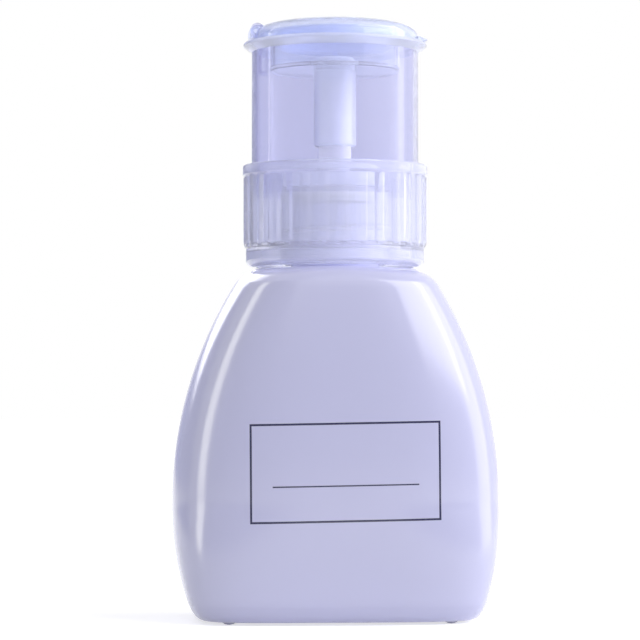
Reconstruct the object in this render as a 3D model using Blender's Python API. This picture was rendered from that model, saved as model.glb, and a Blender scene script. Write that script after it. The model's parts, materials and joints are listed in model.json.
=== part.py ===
"""A pump dispenser bottle: a flattened bottle with a ribbed screw collar, a press head with a dish, and a flip lid.

The origin is on the ground at the middle of the bottle's base. +Z is up, the label side faces -Y, and the lid's
hinge is on the -X side. All sizes are in metres.
"""

import math

import bmesh
import bpy
from mathutils import Matrix, Vector

MM = 0.001

# Bottle body
BODY_WIDTH = 80.0 * MM
BODY_DEPTH = 49.0 * MM
BODY_HEIGHT = 85.8 * MM
WIDEST_HEIGHT = 28.5 * MM
SHOULDER_WIDTH = 49.6 * MM
SHOULDER_DEPTH = 44.6 * MM
SHOULDER_DROP = 3.7 * MM
BASE_WIDTH = 72.6 * MM
BASE_DEPTH = 47.2 * MM
BASE_CORNER_HEIGHT = 4.2 * MM
BASE_FLAT_INSET = 3.4 * MM
BASE_SQUARENESS_SHARE = 13 / 23
BODY_WALL = 1.2 * MM
BODY_SQUARENESS_SHARE = 1 / 3
PLATFORM_INSET = 1.85 * MM
PLATFORM_STEP = 0.5 * MM
PLATFORM_SLOPE = 0.3 * MM
RECESS_RIM = 5.0 * MM
RECESS_DEPTH = 1.2 * MM
RECESS_RAMP = 3.0 * MM

# Feet under the base
FOOT_HEIGHT = 0.7 * MM
FOOT_RADIUS = 1.5 * MM
FOOT_SPACING_X = 53.6 * MM
FOOT_SPACING_Y = 30.0 * MM

# Clearances shared by the pieces
SEAT_GAP = 0.3 * MM
RUN_GAP = 0.3 * MM
OVERRUN = 2.0 * MM
EMBED = 0.4 * MM

# Stem and the head's socket
STEM_BORE = 2.0 * MM
STEM_WALL = 2.0 * MM
SHANK_WALL = 1.2 * MM
STEM_BEAD = 0.15 * MM
STEM_BEAD_WIDTH = 1.0 * MM
SOCKET_WALL = 0.98 * MM
SOCKET_ABOVE_GUIDE = 4.8 * MM

# Pump
STROKE = 9.0 * MM
SOCKET_GUIDE_GAP = 0.37 * MM
GUIDE_WALL = 1.25 * MM
GUIDE_LENGTH = 7.9 * MM
GUIDE_TOP_HEIGHT = 5.6 * MM
GUIDE_TOP_THICKNESS = 1.7 * MM
GUIDE_LAND = 3.6 * MM
GUIDE_SKIRT_WALL = 1.1 * MM
GUIDE_TAPER = 1.1 * MM
GUIDE_SHOULDER = 2.4 * MM
WIPER_HEIGHT = 1.5 * MM
WIPER_CLEARANCE = 0.7 * MM
HOUSING_WALL = 1.0 * MM
CHAMBER_STEP = 0.6 * MM
HOUSING_FLANGE_WIDTH = 3.6 * MM
HOUSING_FLANGE_THICKNESS = 1.1 * MM
HOUSING_RISER_CLEARANCE = 0.4 * MM
HOUSING_FLOOR = 1.3 * MM
VENT_RADIUS = 0.6 * MM
PISTON_LENGTH = 4.7 * MM
PISTON_SKIRT = 1.4 * MM
SEAT_RADIUS = 5.4 * MM
SEAT_HEIGHT = 3.0 * MM
SEAT_FLOOR = 0.9 * MM
SPRING_LENGTH = 15.4 * MM
SPRING_RADIUS = 4.6 * MM
SPRING_WIRE = 0.8 * MM
SPRING_TURNS = 6
CAGE_THICKNESS = 1.1 * MM
CAGE_HOLE = 1.8 * MM
INLET_BALL_RADIUS = 2.3 * MM
INLET_CHAMBER_DEPTH = 4.4 * MM
INLET_LIFT = 1.5 * MM
INLET_HOLE = 1.5 * MM
INLET_SEAT_GAP = 0.2 * MM
OUTLET_BALL_RADIUS = 2.5 * MM
OUTLET_SEAT_MOUTH = 0.9 * MM
OUTLET_LIFT = 0.6 * MM
OUTLET_SEAT_GAP = 0.2 * MM
DIP_TUBE_RADIUS = 2.5 * MM
DIP_TUBE_WALL = 0.8 * MM
DIP_SOCKET_DEPTH = 7.8 * MM
DIP_SOCKET_WALL = 1.4 * MM
DIP_SOCKET_GAP = 0.1 * MM
DIP_FLOOR_CLEARANCE = 2.5 * MM

# Bottle neck and its thread
NECK_HEIGHT = 15.9 * MM
NECK_ROOM = 1.1 * MM
NECK_WALL = 1.5 * MM
NECK_FILLET = 0.8 * MM
LIP_CHAMFER = 0.4 * MM
GASKET_THICKNESS = 0.8 * MM
GASKET_MARGIN = 0.2 * MM
THREAD_PITCH = 3.18 * MM
THREAD_TURNS = 1.5
THREAD_DEPTH = 1.05 * MM
THREAD_ROOT_WIDTH = 1.2 * MM
THREAD_CREST_WIDTH = 0.6 * MM
THREAD_BELOW_LIP = 7.2 * MM

# Collar
DECK_THICKNESS = 1.1 * MM
DECK_GAP = 0.5 * MM
INNER_SKIRT_WALL = 1.25 * MM
INNER_SKIRT_LIFT = 0.6 * MM
COLLAR_LIFT = 0.6 * MM
COLLAR_WALL = 1.1 * MM
COLLAR_FLOOR = 1.5 * MM
COLLAR_FLOOR_CLEARANCE = 2.8 * MM
COLLAR_RIM_BAND = 3.0 * MM
COLLAR_RIM_ROUND = 0.5 * MM
COLLAR_LOWER_BAND = 4.5 * MM
COLLAR_LOWER_ROUND = 1.8 * MM
COLLAR_FOOT_WIDTH = 2.6 * MM
COLLAR_LOWER_INSET = 0.2 * MM
RIB_COUNT = 30
RIB_HEIGHT = 0.6 * MM
RIB_WIDTH = 2.3 * MM
RIB_CREST_SHARE = 0.7

# Press head
SLEEVE_WALL = 1.1 * MM
SLEEVE_LENGTH = 36.6 * MM
SLEEVE_OVERLAP = 7.8 * MM
SLEEVE_GAP = 0.5 * MM
FLANGE_OVERHANG = 2.05 * MM
FLANGE_THICKNESS = 1.4 * MM
FLANGE_EDGE = 0.8 * MM
FLANGE_TAPER = 0.9 * MM
FLANGE_ROUND = 0.5 * MM
DISH_RADIUS = 14.9 * MM
DISH_WALL = 1.1 * MM
DISH_DEPTH = 5.9 * MM
DISH_FLOOR = 1.1 * MM
DISH_ROUND = 1.8 * MM
OUTLET_RADIUS = 5.15 * MM
OUTLET_HEIGHT = 2.5 * MM
OUTLET_CAP = 1.8 * MM
OUTLET_ROUND = 0.9 * MM
OUTLET_HOLE = 0.8 * MM
OUTLET_CEILING_GAP = 0.2 * MM
OUTLET_CHAMBER_STEP = 0.3 * MM

# Flip lid and its hinge
LID_HEIGHT = 5.0 * MM
LID_INSET = 0.05 * MM
LID_WALL = 1.2 * MM
LID_SQUARENESS_SHARE = 3 / 7
LID_RING_WALL = 1.0 * MM
LID_RING_GAP = 0.25 * MM
LID_RING_REACH = 1.6 * MM
LID_PIN_RADIUS = 1.3 * MM
TAB_WIDTH = 10.0 * MM
TAB_THICKNESS = 1.2 * MM
TAB_TIP = 0.3 * MM
TAB_INSET = 0.3 * MM
TAB_LIFT = 0.1 * MM
HINGE_INSET = 1.05 * MM
EAR_RADIUS = 1.8 * MM
EAR_THICKNESS = 1.4 * MM
KNUCKLE_RADIUS = 1.5 * MM
KNUCKLE_WIDTH = 6.0 * MM
TRUNNION_RADIUS = 0.8 * MM
TRUNNION_GAP = 0.25 * MM
TRUNNION_REACH = 1.7 * MM
ARM_THICKNESS = 1.5 * MM
ARM_LEDGE = 0.1 * MM
NOTCH_REACH = 3.1 * MM
BRACKET_PLATE = 0.5 * MM
BRACKET_LEDGE = 0.2 * MM
BRACKET_MARGIN = 0.3 * MM
HOOK_WIDTH = 5.2 * MM
HOOK_PRONG = 0.7 * MM
HOOK_SLOT = 0.9 * MM
HOOK_LENGTH = 6.4 * MM
HOOK_CATCH = 0.45 * MM
HOOK_CLEARANCE = 0.55 * MM

# Facets of round pieces
BODY_SIDES = 40
WIDE_SIDES = 40
COLLAR_SIDES = 60
PUMP_SIDES = 24
SMALL_SIDES = 20
PIN_SIDES = 12
CURL_SIDES = 10
ROUND_STEPS = 2
BODY_STEPS = 3

# Radii that follow from the pieces inside them, from the stem outwards
stem_radius = STEM_BORE + STEM_WALL
shank_radius = STEM_BORE + SHANK_WALL
socket_bore = stem_radius + RUN_GAP
socket_radius = socket_bore + SOCKET_WALL
guide_bore = socket_radius + SOCKET_GUIDE_GAP
guide_tube_radius = guide_bore + GUIDE_WALL
housing_bore = guide_tube_radius + RUN_GAP
housing_radius = housing_bore + HOUSING_WALL
chamber_bore = housing_bore - CHAMBER_STEP
piston_radius = chamber_bore - RUN_GAP
neck_bore = housing_radius + NECK_ROOM
neck_radius = neck_bore + NECK_WALL
thread_radius = neck_radius + THREAD_DEPTH
housing_flange_radius = housing_radius + HOUSING_FLANGE_WIDTH
skirt_bore = max(thread_radius, housing_flange_radius) + RUN_GAP
inner_skirt_radius = skirt_bore + INNER_SKIRT_WALL
deck_bore = housing_radius + DECK_GAP
guide_base_radius = deck_bore + GUIDE_LAND
hook_depth = 2 * HOOK_PRONG + HOOK_SLOT
hook_reach = DISH_RADIUS + DISH_WALL + HOOK_CLEARANCE + hook_depth
sleeve_bore = hook_reach + 2 * RUN_GAP
sleeve_radius = sleeve_bore + SLEEVE_WALL
collar_bore = sleeve_radius + SLEEVE_GAP
collar_radius = collar_bore + COLLAR_WALL
rim_radius = collar_radius + RIB_HEIGHT
lower_band_radius = collar_radius - COLLAR_LOWER_INSET
platform_radius = collar_radius - PLATFORM_INSET
flange_radius = sleeve_radius + FLANGE_OVERHANG
lid_radius = sleeve_radius - LID_INSET

# Heights that follow from the pieces below them, from the base up
base_z = FOOT_HEIGHT
recess_z = base_z + RECESS_DEPTH
floor_z = recess_z + BODY_WALL
platform_z = BODY_HEIGHT
lip_z = platform_z + NECK_HEIGHT
gasket_z = lip_z + SEAT_GAP
housing_flange_z = gasket_z + GASKET_THICKNESS + SEAT_GAP
deck_z = housing_flange_z + HOUSING_FLANGE_THICKNESS + SEAT_GAP
guide_base_z = deck_z + DECK_THICKNESS + SEAT_GAP
guide_top_z = guide_base_z + GUIDE_TOP_HEIGHT
rim_z = guide_top_z
collar_z = platform_z + COLLAR_LIFT
socket_z = guide_top_z + SOCKET_ABOVE_GUIDE
wiper_top_z = socket_z - STROKE - WIPER_CLEARANCE
wiper_z = wiper_top_z - WIPER_HEIGHT
shelf_z = wiper_z - SEAT_GAP
guide_end_z = shelf_z - GUIDE_LENGTH
piston_top_z = guide_end_z - SEAT_GAP
piston_z = piston_top_z - PISTON_LENGTH
seat_top_z = piston_z - SEAT_GAP
seat_z = seat_top_z - SEAT_HEIGHT
spring_top_z = seat_z - SEAT_GAP
spring_z = spring_top_z - SPRING_LENGTH
cage_z = spring_z - SEAT_GAP - CAGE_THICKNESS
chamber_z = cage_z - SEAT_GAP
inlet_cone_z = chamber_z - INLET_CHAMBER_DEPTH
inlet_radius = INLET_BALL_RADIUS + CHAMBER_STEP
inlet_throat_z = inlet_cone_z - (inlet_radius - INLET_HOLE)
dip_socket_z = inlet_throat_z - EMBED
dip_top_z = dip_socket_z - SEAT_GAP
housing_z = dip_socket_z - DIP_SOCKET_DEPTH
sleeve_z = rim_z - SLEEVE_OVERLAP
collar_floor_z = sleeve_z - STROKE - COLLAR_FLOOR_CLEARANCE
flange_z = sleeve_z + SLEEVE_LENGTH
flange_top_z = flange_z + FLANGE_THICKNESS
dish_z = flange_top_z - DISH_DEPTH
outlet_top_z = dish_z + OUTLET_HEIGHT
outlet_ceiling_z = outlet_top_z - OUTLET_CAP
outlet_ball_z = outlet_ceiling_z - OUTLET_CEILING_GAP - OUTLET_LIFT - OUTLET_BALL_RADIUS
outlet_apex_z = outlet_ball_z - (OUTLET_BALL_RADIUS + OUTLET_SEAT_GAP) * math.sqrt(2)
stem_top_z = outlet_apex_z + STEM_BORE + OUTLET_SEAT_MOUTH
outlet_chamber_z = stem_top_z + SEAT_GAP
stem_z = seat_z + SEAT_FLOOR + SEAT_GAP
lid_z = flange_top_z + SEAT_GAP
lid_top_z = lid_z + LID_HEIGHT
hinge_x = HINGE_INSET - lid_radius
hinge_z = lid_z + BRACKET_PLATE + RUN_GAP + KNUCKLE_RADIUS


def clear_scene():
    """Removes what the file opened with."""
    for thing in list(bpy.data.objects):
        bpy.data.objects.remove(thing, do_unlink=True)


def material(name, colour, roughness, alpha=1.0):
    """A plain plastic or metal finish."""
    made = bpy.data.materials.new(name)
    made.use_nodes = True
    shader = made.node_tree.nodes["Principled BSDF"]
    shader.inputs["Base Color"].default_value = (*colour, 1.0)
    shader.inputs["Roughness"].default_value = roughness
    shader.inputs["Alpha"].default_value = alpha
    made.diffuse_color = (*colour, alpha)
    return made


def metal(name, colour, roughness):
    made = material(name, colour, roughness)
    made.node_tree.nodes["Principled BSDF"].inputs["Metallic"].default_value = 1.0
    return made


def link(name, bm, finish, smooth_angle=math.radians(35)):
    """Turns a bmesh into a named object with its finish, shaded smooth but for its sharp edges."""
    bmesh.ops.recalc_face_normals(bm, faces=bm.faces)
    mesh = bpy.data.meshes.new(name)
    bm.to_mesh(mesh)
    bm.free()
    mesh.shade_smooth()
    mesh.set_sharp_from_angle(angle=smooth_angle)
    mesh.materials.append(finish)
    made = bpy.data.objects.new(name, mesh)
    bpy.context.collection.objects.link(made)
    return made


def rounded(corners):
    """An outline of (across, height, round) corners, with each round drawn as an arc between its two sides."""
    outline = []
    for i, (across, height, radius) in enumerate(corners):
        here = Vector((across, height))
        if not radius:
            outline.append(here)
            continue
        before = (Vector(corners[i - 1][:2]) - here).normalized()
        after = (Vector(corners[(i + 1) % len(corners)][:2]) - here).normalized()
        half = before.angle(after) / 2
        start, end = (here + side * (radius / math.tan(half)) for side in (before, after))
        centre = here + (before + after).normalized() * (radius / math.sin(half))
        for step in range(ROUND_STEPS + 1):
            share = step / ROUND_STEPS
            point = start.lerp(end, share) - centre
            outline.append(centre + point.normalized() * radius)
    return outline


def turned_bmesh(outline, sides):
    """A closed outline of (radius, height) points, spun about the Z axis."""
    bm = bmesh.new()
    points = [bm.verts.new((radius, 0, height)) for radius, height in outline]
    edges = [bm.edges.new((a, b)) for a, b in zip(points, points[1:] + points[:1]) if a.co.x or b.co.x]
    bmesh.ops.spin(
        bm, geom=points + edges, axis=(0, 0, 1), cent=(0, 0, 0), angle=math.tau, steps=sides, use_merge=True
    )
    axis_points = [v for v in bm.verts if math.hypot(v.co.x, v.co.y) < SEAT_GAP / 100]
    bmesh.ops.remove_doubles(bm, verts=axis_points, dist=SEAT_GAP / 10)
    return bm


def turned(name, outline, sides, finish):
    return link(name, turned_bmesh(outline, sides), finish)


def cylinder_bmesh(radius, start, end, sides=PIN_SIDES):
    """A round bar between two points."""
    bm = bmesh.new()
    start, end = Vector(start), Vector(end)
    turn = (end - start).to_track_quat("Z", "Y").to_matrix().to_4x4()
    bmesh.ops.create_cone(
        bm,
        cap_ends=True,
        segments=sides,
        radius1=radius,
        radius2=radius,
        depth=(end - start).length,
        matrix=Matrix.Translation((start + end) / 2) @ turn,
    )
    return bm


def box_bmesh(low, high):
    bm = bmesh.new()
    low, high = Vector(low), Vector(high)
    size = Matrix.Diagonal((*(high - low), 1))
    bmesh.ops.create_cube(bm, size=1, matrix=Matrix.Translation((low + high) / 2) @ size)
    return bm


def extruded_bmesh(outline, half_width):
    """An outline in the XZ plane, as thick as two half widths along Y."""
    bm = bmesh.new()
    face = bm.faces.new([bm.verts.new((x, -half_width, z)) for x, z in outline])
    moved = bmesh.ops.extrude_face_region(bm, geom=[face])["geom"]
    bmesh.ops.translate(bm, verts=[v for v in moved if isinstance(v, bmesh.types.BMVert)], vec=(0, 2 * half_width, 0))
    return bm


def helper(name, bm, finish):
    """A shape that only cuts or joins another one, so it is left out of renders."""
    made = link(name, bm, finish)
    made.hide_render = True
    made.display_type = "WIRE"
    return made


def combine(target, other, operation):
    """Cuts one solid with another, or joins them."""
    modifier = target.modifiers.new(other.name, "BOOLEAN")
    modifier.operation = operation
    modifier.solver = "EXACT"
    modifier.object = other


def arc_drop(rise, middle, end, whole_rise):
    """How far a side that bows from its middle to its end has come in at a height above the middle.

    It is worked out from the bow's curvature, so the end may also be as wide as the middle, or wider.
    """
    drop = middle - end
    curvature = 2 * drop / (whole_rise**2 + drop**2)
    return curvature * rise**2 / (1 + math.sqrt(max(0, 1 - (curvature * rise) ** 2)))


def ring_power(squareness_share):
    """The power of a ring's curve: an ellipse at share 0, and the nearer to a rectangle, the nearer to share 1."""
    return 2 / (1 - squareness_share)


def curve_point(start, pull, end, share):
    """A point on the smooth curve from start to end that the pull point bends."""
    return start * (1 - share) ** 2 + pull * (2 * share * (1 - share)) + end * share**2


# Share of the way from the platform out to the shoulder, and up to the platform, where the shoulder's curve is pulled
SHOULDER_PULL_SHARES = (0.61, 0.83)
# Share of the way from the flat base out to the side, and up the corner, where the base corner's curve is pulled
BASE_PULL_SHARES = (0.6, 0.02)


def body_levels(inset, side_steps):
    """Rings of the body as (height, half width, half depth, power), from the flat base up to the shoulder's top.

    The inset makes the inside of the wall, by drawing every ring in.
    """
    corner_z = base_z + BASE_CORNER_HEIGHT
    shoulder_z = platform_z - SHOULDER_DROP
    top_z = platform_z - PLATFORM_STEP - inset
    low_z = base_z + inset
    widest, deepest = BODY_WIDTH / 2, BODY_DEPTH / 2
    flat = Vector((low_z, BASE_WIDTH / 2 - BASE_FLAT_INSET, BASE_DEPTH / 2 - BASE_FLAT_INSET))
    side = Vector((corner_z, BASE_WIDTH / 2, BASE_DEPTH / 2))
    out_share, up_share = BASE_PULL_SHARES
    pull = flat.lerp(side, out_share)
    pull[0] = flat[0] + (side[0] - flat[0]) * up_share
    base_power, body_power = ring_power(BASE_SQUARENESS_SHARE), ring_power(BODY_SQUARENESS_SHARE)
    rings = []
    for step in range(BODY_STEPS):
        rings.append((*curve_point(flat, pull, side, step / BODY_STEPS), base_power))
    for step in range(side_steps + 1):
        z = corner_z + (shoulder_z - corner_z) * step / side_steps
        rise = z - WIDEST_HEIGHT
        if rise < 0:
            ends = (BASE_WIDTH / 2, BASE_DEPTH / 2, WIDEST_HEIGHT - corner_z)
        else:
            ends = (SHOULDER_WIDTH / 2, SHOULDER_DEPTH / 2, shoulder_z - WIDEST_HEIGHT)
        half_width = widest - arc_drop(rise, widest, ends[0], ends[2])
        half_depth = deepest - arc_drop(rise, deepest, ends[1], ends[2])
        power = body_power
        if rise < 0:
            power += (base_power - body_power) * rise / (corner_z - WIDEST_HEIGHT)
        rings.append((z, half_width, half_depth, power))
    edge = platform_radius + PLATFORM_SLOPE
    shoulder = Vector((shoulder_z, SHOULDER_WIDTH / 2, SHOULDER_DEPTH / 2))
    top = Vector((top_z, edge, edge))
    out_share, up_share = SHOULDER_PULL_SHARES
    pull = top.lerp(shoulder, out_share)
    pull[0] = shoulder[0] + (top[0] - shoulder[0]) * up_share
    for step in range(1, BODY_STEPS + 2):
        share = step / (BODY_STEPS + 1)
        power = body_power + (ring_power(0) - body_power) * share
        rings.append((*curve_point(shoulder, pull, top, share), power))
    return [(z, half_width - inset, half_depth - inset, power) for z, half_width, half_depth, power in rings]


def ring_points(z, half_width, half_depth, power):
    """A closed ring between an ellipse and a rounded rectangle: the higher the power, the squarer."""
    for side in range(BODY_SIDES):
        angle = math.tau * side / BODY_SIDES
        c, s = math.cos(angle), math.sin(angle)
        reach = (abs(c / half_width) ** power + abs(s / half_depth) ** power) ** (-1 / power)
        yield reach * c, reach * s, z


def lofted_bmesh(rings, low_z, high_z):
    """Joins rings in their order, with the first closed to a point at low_z and the last to one at high_z."""
    bm = bmesh.new()
    loops = [[bm.verts.new(point) for point in ring_points(*ring)] for ring in rings]
    for below, above in zip(loops, loops[1:]):
        for i in range(BODY_SIDES):
            j = (i + 1) % BODY_SIDES
            bm.faces.new((below[i], below[j], above[j], above[i]))
    for loop, z in ((loops[0], low_z), (loops[-1], high_z)):
        centre = bm.verts.new((0, 0, z))
        for i in range(BODY_SIDES):
            bm.faces.new((loop[i], loop[(i + 1) % BODY_SIDES], centre))
    return bm


def recess_rings(inset):
    """The two rings of the raised middle of the base, from its rim inwards."""
    half_width = BASE_WIDTH / 2 - BASE_FLAT_INSET - RECESS_RIM - inset
    half_depth = BASE_DEPTH / 2 - BASE_FLAT_INSET - RECESS_RIM - inset
    power = ring_power(BASE_SQUARENESS_SHARE)
    return [
        (base_z + inset, half_width, half_depth, power),
        (recess_z + inset, half_width - RECESS_RAMP, half_depth - RECESS_RAMP, power),
    ]


def thread_bmesh(root_radius, depth, start_z):
    """A helical ridge standing out of a wall, or into a bore when the depth is negative, with run-out ends."""
    bm = bmesh.new()
    steps = round(PUMP_SIDES * THREAD_TURNS)
    lead = PUMP_SIDES / 4
    buried = -math.copysign(EMBED, depth)
    sections = []
    for step in range(steps + 1):
        angle = math.tau * step / PUMP_SIDES
        rise = start_z + THREAD_PITCH * step / PUMP_SIDES
        share = min(1, (step + 1) / lead, (steps + 1 - step) / lead)
        crest = THREAD_CREST_WIDTH / 2
        root = THREAD_ROOT_WIDTH / 2
        corners = ((buried, -root), (depth * share, -crest), (depth * share, crest), (buried, root))
        sections.append(
            [
                bm.verts.new(
                    (
                        (root_radius + out) * math.cos(angle),
                        (root_radius + out) * math.sin(angle),
                        rise + up,
                    )
                )
                for out, up in corners
            ]
        )
    for here, there in zip(sections, sections[1:]):
        for i in range(len(here)):
            j = (i + 1) % len(here)
            bm.faces.new((here[i], here[j], there[j], there[i]))
    bm.faces.new(sections[0])
    bm.faces.new(sections[-1])
    return bm


def make_bottle(finish):
    outside = body_levels(0, side_steps=12)
    inside = body_levels(BODY_WALL, side_steps=6)
    neck = [
        (platform_z, platform_radius),
        (platform_z, neck_radius + NECK_FILLET),
        (platform_z + NECK_FILLET, neck_radius),
        (lip_z - LIP_CHAMFER, neck_radius),
        (lip_z, neck_radius - LIP_CHAMFER),
        (lip_z, neck_bore + LIP_CHAMFER),
        (lip_z - LIP_CHAMFER, neck_bore),
        (platform_z, neck_bore),
        (inside[-1][0], neck_bore + BODY_WALL),
    ]
    rings = recess_rings(0)[::-1] + outside
    rings += [(z, radius, radius, ring_power(0)) for z, radius in neck]
    rings += inside[::-1] + recess_rings(BODY_WALL)
    bottle = link("bottle", lofted_bmesh(rings, recess_z, floor_z), finish)
    thread = thread_bmesh(neck_radius, THREAD_DEPTH, lip_z - THREAD_BELOW_LIP)
    combine(bottle, helper("neck_thread", thread, finish), "UNION")
    for i, x in enumerate((-FOOT_SPACING_X / 2, FOOT_SPACING_X / 2)):
        for j, y in enumerate((-FOOT_SPACING_Y / 2, FOOT_SPACING_Y / 2)):
            foot = cylinder_bmesh(FOOT_RADIUS, (x, y, 0), (x, y, base_z + BODY_WALL))
            combine(bottle, helper(f"foot_{i}{j}", foot, finish), "UNION")
    return bottle


def make_gasket(finish):
    low, high = gasket_z, gasket_z + GASKET_THICKNESS
    inner, outer = neck_bore + GASKET_MARGIN, skirt_bore - RUN_GAP
    return turned("neck_gasket", [(inner, low), (outer, low), (outer, high), (inner, high)], PUMP_SIDES, finish)


def make_collar(finish):
    rib_top = rim_z - COLLAR_RIM_BAND
    rib_low = collar_z + COLLAR_LOWER_BAND
    outline = rounded(
        [
            (collar_bore, rim_z, 0),
            (collar_bore, collar_floor_z, 0),
            (inner_skirt_radius, collar_floor_z, 0),
            (inner_skirt_radius, deck_z + DECK_THICKNESS, COLLAR_RIM_ROUND),
            (deck_bore, deck_z + DECK_THICKNESS, 0),
            (deck_bore, deck_z, 0),
            (skirt_bore, deck_z, 0),
            (skirt_bore, collar_z + INNER_SKIRT_LIFT, 0),
            (inner_skirt_radius, collar_z + INNER_SKIRT_LIFT, 0),
            (inner_skirt_radius, collar_floor_z - COLLAR_FLOOR, 0),
            (collar_bore - COLLAR_LOWER_INSET, collar_floor_z - COLLAR_FLOOR, 0),
            (collar_bore - COLLAR_LOWER_INSET, collar_z + COLLAR_WALL, 0),
            (lower_band_radius - COLLAR_FOOT_WIDTH, collar_z + COLLAR_WALL, 0),
            (lower_band_radius - COLLAR_FOOT_WIDTH, collar_z, 0),
            (lower_band_radius, collar_z, COLLAR_LOWER_ROUND),
            (lower_band_radius, rib_low, 0),
            (collar_radius, rib_low + RIB_HEIGHT, 0),
            (collar_radius, rib_top, 0),
            (rim_radius, rib_top + RIB_HEIGHT, 0),
            (rim_radius, rim_z, COLLAR_RIM_ROUND),
        ]
    )
    collar = turned("collar", outline, COLLAR_SIDES, finish)
    # The ridge inside the skirt lies half a pitch under the neck's, which keeps them in mesh
    thread = thread_bmesh(skirt_bore, -THREAD_DEPTH, lip_z - THREAD_BELOW_LIP - THREAD_PITCH / 2)
    combine(collar, helper("skirt_thread", thread, finish), "UNION")
    combine(collar, helper("grip_ribs", ribs_bmesh(rib_low, rib_top), finish), "UNION")
    return collar


def ribs_bmesh(low_z, high_z):
    """Upright grip ribs all round the collar: half-round bars whose lower ends are rounded off."""
    bm = bmesh.new()
    corner_shares = (-1, -0.6, 0.6, 1)
    crest = RIB_HEIGHT * RIB_CREST_SHARE
    levels = (
        (low_z + RIB_HEIGHT / 2, 0),
        (low_z + RIB_HEIGHT * 2, 1),
        (high_z + RIB_HEIGHT, 1),
    )
    for rib in range(RIB_COUNT):
        angle = math.tau * (rib + 1 / 2) / RIB_COUNT
        out = Vector((math.cos(angle), math.sin(angle), 0))
        along = Vector((-out.y, out.x, 0))
        loops = []
        for z, height_share in levels:
            heights = (-EMBED, crest * height_share, crest * height_share, -EMBED)
            loop = [
                bm.verts.new(out * (collar_radius + height) + along * (RIB_WIDTH / 2 * share) + Vector((0, 0, z)))
                for share, height in zip(corner_shares, heights)
            ]
            loops.append(loop)
        for below, above in zip(loops, loops[1:]):
            for i in range(len(below)):
                j = (i + 1) % len(below)
                bm.faces.new((below[i], below[j], above[j], above[i]))
        bm.faces.new(loops[0])
        bm.faces.new(loops[-1])
    return bm


def make_housing(finish):
    nose_radius = DIP_TUBE_RADIUS + DIP_SOCKET_GAP + DIP_SOCKET_WALL
    socket_radius_low = DIP_TUBE_RADIUS + DIP_SOCKET_GAP
    flange_top = housing_flange_z + HOUSING_FLANGE_THICKNESS
    riser_top = guide_top_z - GUIDE_TOP_THICKNESS - HOUSING_RISER_CLEARANCE
    outline = [
        (INLET_HOLE, dip_socket_z),
        (socket_radius_low, dip_socket_z),
        (socket_radius_low, housing_z),
        (nose_radius, housing_z),
        (nose_radius, inlet_throat_z - HOUSING_FLOOR),
        (housing_radius, chamber_z - HOUSING_FLOOR),
        (housing_radius, housing_flange_z),
        (housing_flange_radius, housing_flange_z),
        (housing_flange_radius, flange_top),
        (housing_radius, flange_top),
        (housing_radius, riser_top),
        (housing_bore, riser_top),
        (housing_bore, guide_end_z - CHAMBER_STEP),
        (chamber_bore, guide_end_z - CHAMBER_STEP),
        (chamber_bore, chamber_z),
        (inlet_radius, chamber_z),
        (inlet_radius, inlet_cone_z),
        (INLET_HOLE, inlet_throat_z),
    ]
    housing = turned("pump_housing", outline, PUMP_SIDES, finish)
    vent_z = housing_flange_z - HOUSING_FLANGE_WIDTH
    reach = housing_radius + OVERRUN
    vent = cylinder_bmesh(VENT_RADIUS, (0, chamber_bore, vent_z), (0, reach, vent_z))
    combine(housing, helper("vent_hole", vent, finish), "DIFFERENCE")
    return housing


def make_guide_cap(finish):
    shoulder_radius = guide_base_radius - GUIDE_TAPER
    ceiling_z = guide_top_z - GUIDE_TOP_THICKNESS
    stem_guide = stem_radius + RUN_GAP
    outline = rounded(
        [
            (guide_bore, guide_top_z, 0),
            (guide_bore, shelf_z, 0),
            (stem_guide, shelf_z, 0),
            (stem_guide, guide_end_z, 0),
            (guide_tube_radius, guide_end_z, 0),
            (guide_tube_radius, ceiling_z, 0),
            (shoulder_radius - GUIDE_SKIRT_WALL, ceiling_z, 0),
            (guide_base_radius - GUIDE_SKIRT_WALL, guide_base_z, 0),
            (guide_base_radius, guide_base_z, 0),
            (shoulder_radius, guide_top_z, GUIDE_SHOULDER / 2),
        ]
    )
    return turned("guide_cap", outline, PUMP_SIDES, finish)


def make_wiper(finish):
    inner, outer = stem_radius + RUN_GAP, guide_bore - RUN_GAP
    outline = [(inner, wiper_z), (outer, wiper_z), (outer, wiper_top_z), (inner, wiper_top_z)]
    return turned("stem_wiper", outline, SMALL_SIDES, finish)


def make_stem(finish):
    mouth = STEM_BORE + OUTLET_SEAT_MOUTH
    shoulder_z = piston_top_z + SEAT_GAP
    outline = [
        (STEM_BORE, stem_z),
        (shank_radius, stem_z),
        (shank_radius, shoulder_z),
        (stem_radius, shoulder_z),
    ]
    socket_length = outlet_chamber_z - socket_z
    bead_shares = (0.08, 0.36, 0.58, 0.88)
    for share in bead_shares:
        z = socket_z + socket_length * share
        outline += [
            (stem_radius, z - STEM_BEAD_WIDTH / 2),
            (stem_radius + STEM_BEAD, z),
            (stem_radius, z + STEM_BEAD_WIDTH / 2),
        ]
    outline += [(stem_radius, stem_top_z), (mouth, stem_top_z), (STEM_BORE, stem_top_z - OUTLET_SEAT_MOUTH)]
    return turned("stem", outline, SMALL_SIDES, finish)


def make_piston_seal(finish):
    inner = shank_radius + RUN_GAP
    waist = piston_radius - RUN_GAP
    lip = PISTON_SKIRT / 2
    outline = [
        (inner, piston_z + PISTON_SKIRT),
        (piston_radius - SHANK_WALL, piston_z),
        (piston_radius, piston_z),
        (piston_radius, piston_z + lip),
        (waist, piston_z + PISTON_SKIRT),
        (waist, piston_top_z - PISTON_SKIRT),
        (piston_radius, piston_top_z - lip),
        (piston_radius, piston_top_z),
        (inner, piston_top_z),
    ]
    return turned("piston_seal", outline, PUMP_SIDES, finish)


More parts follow.
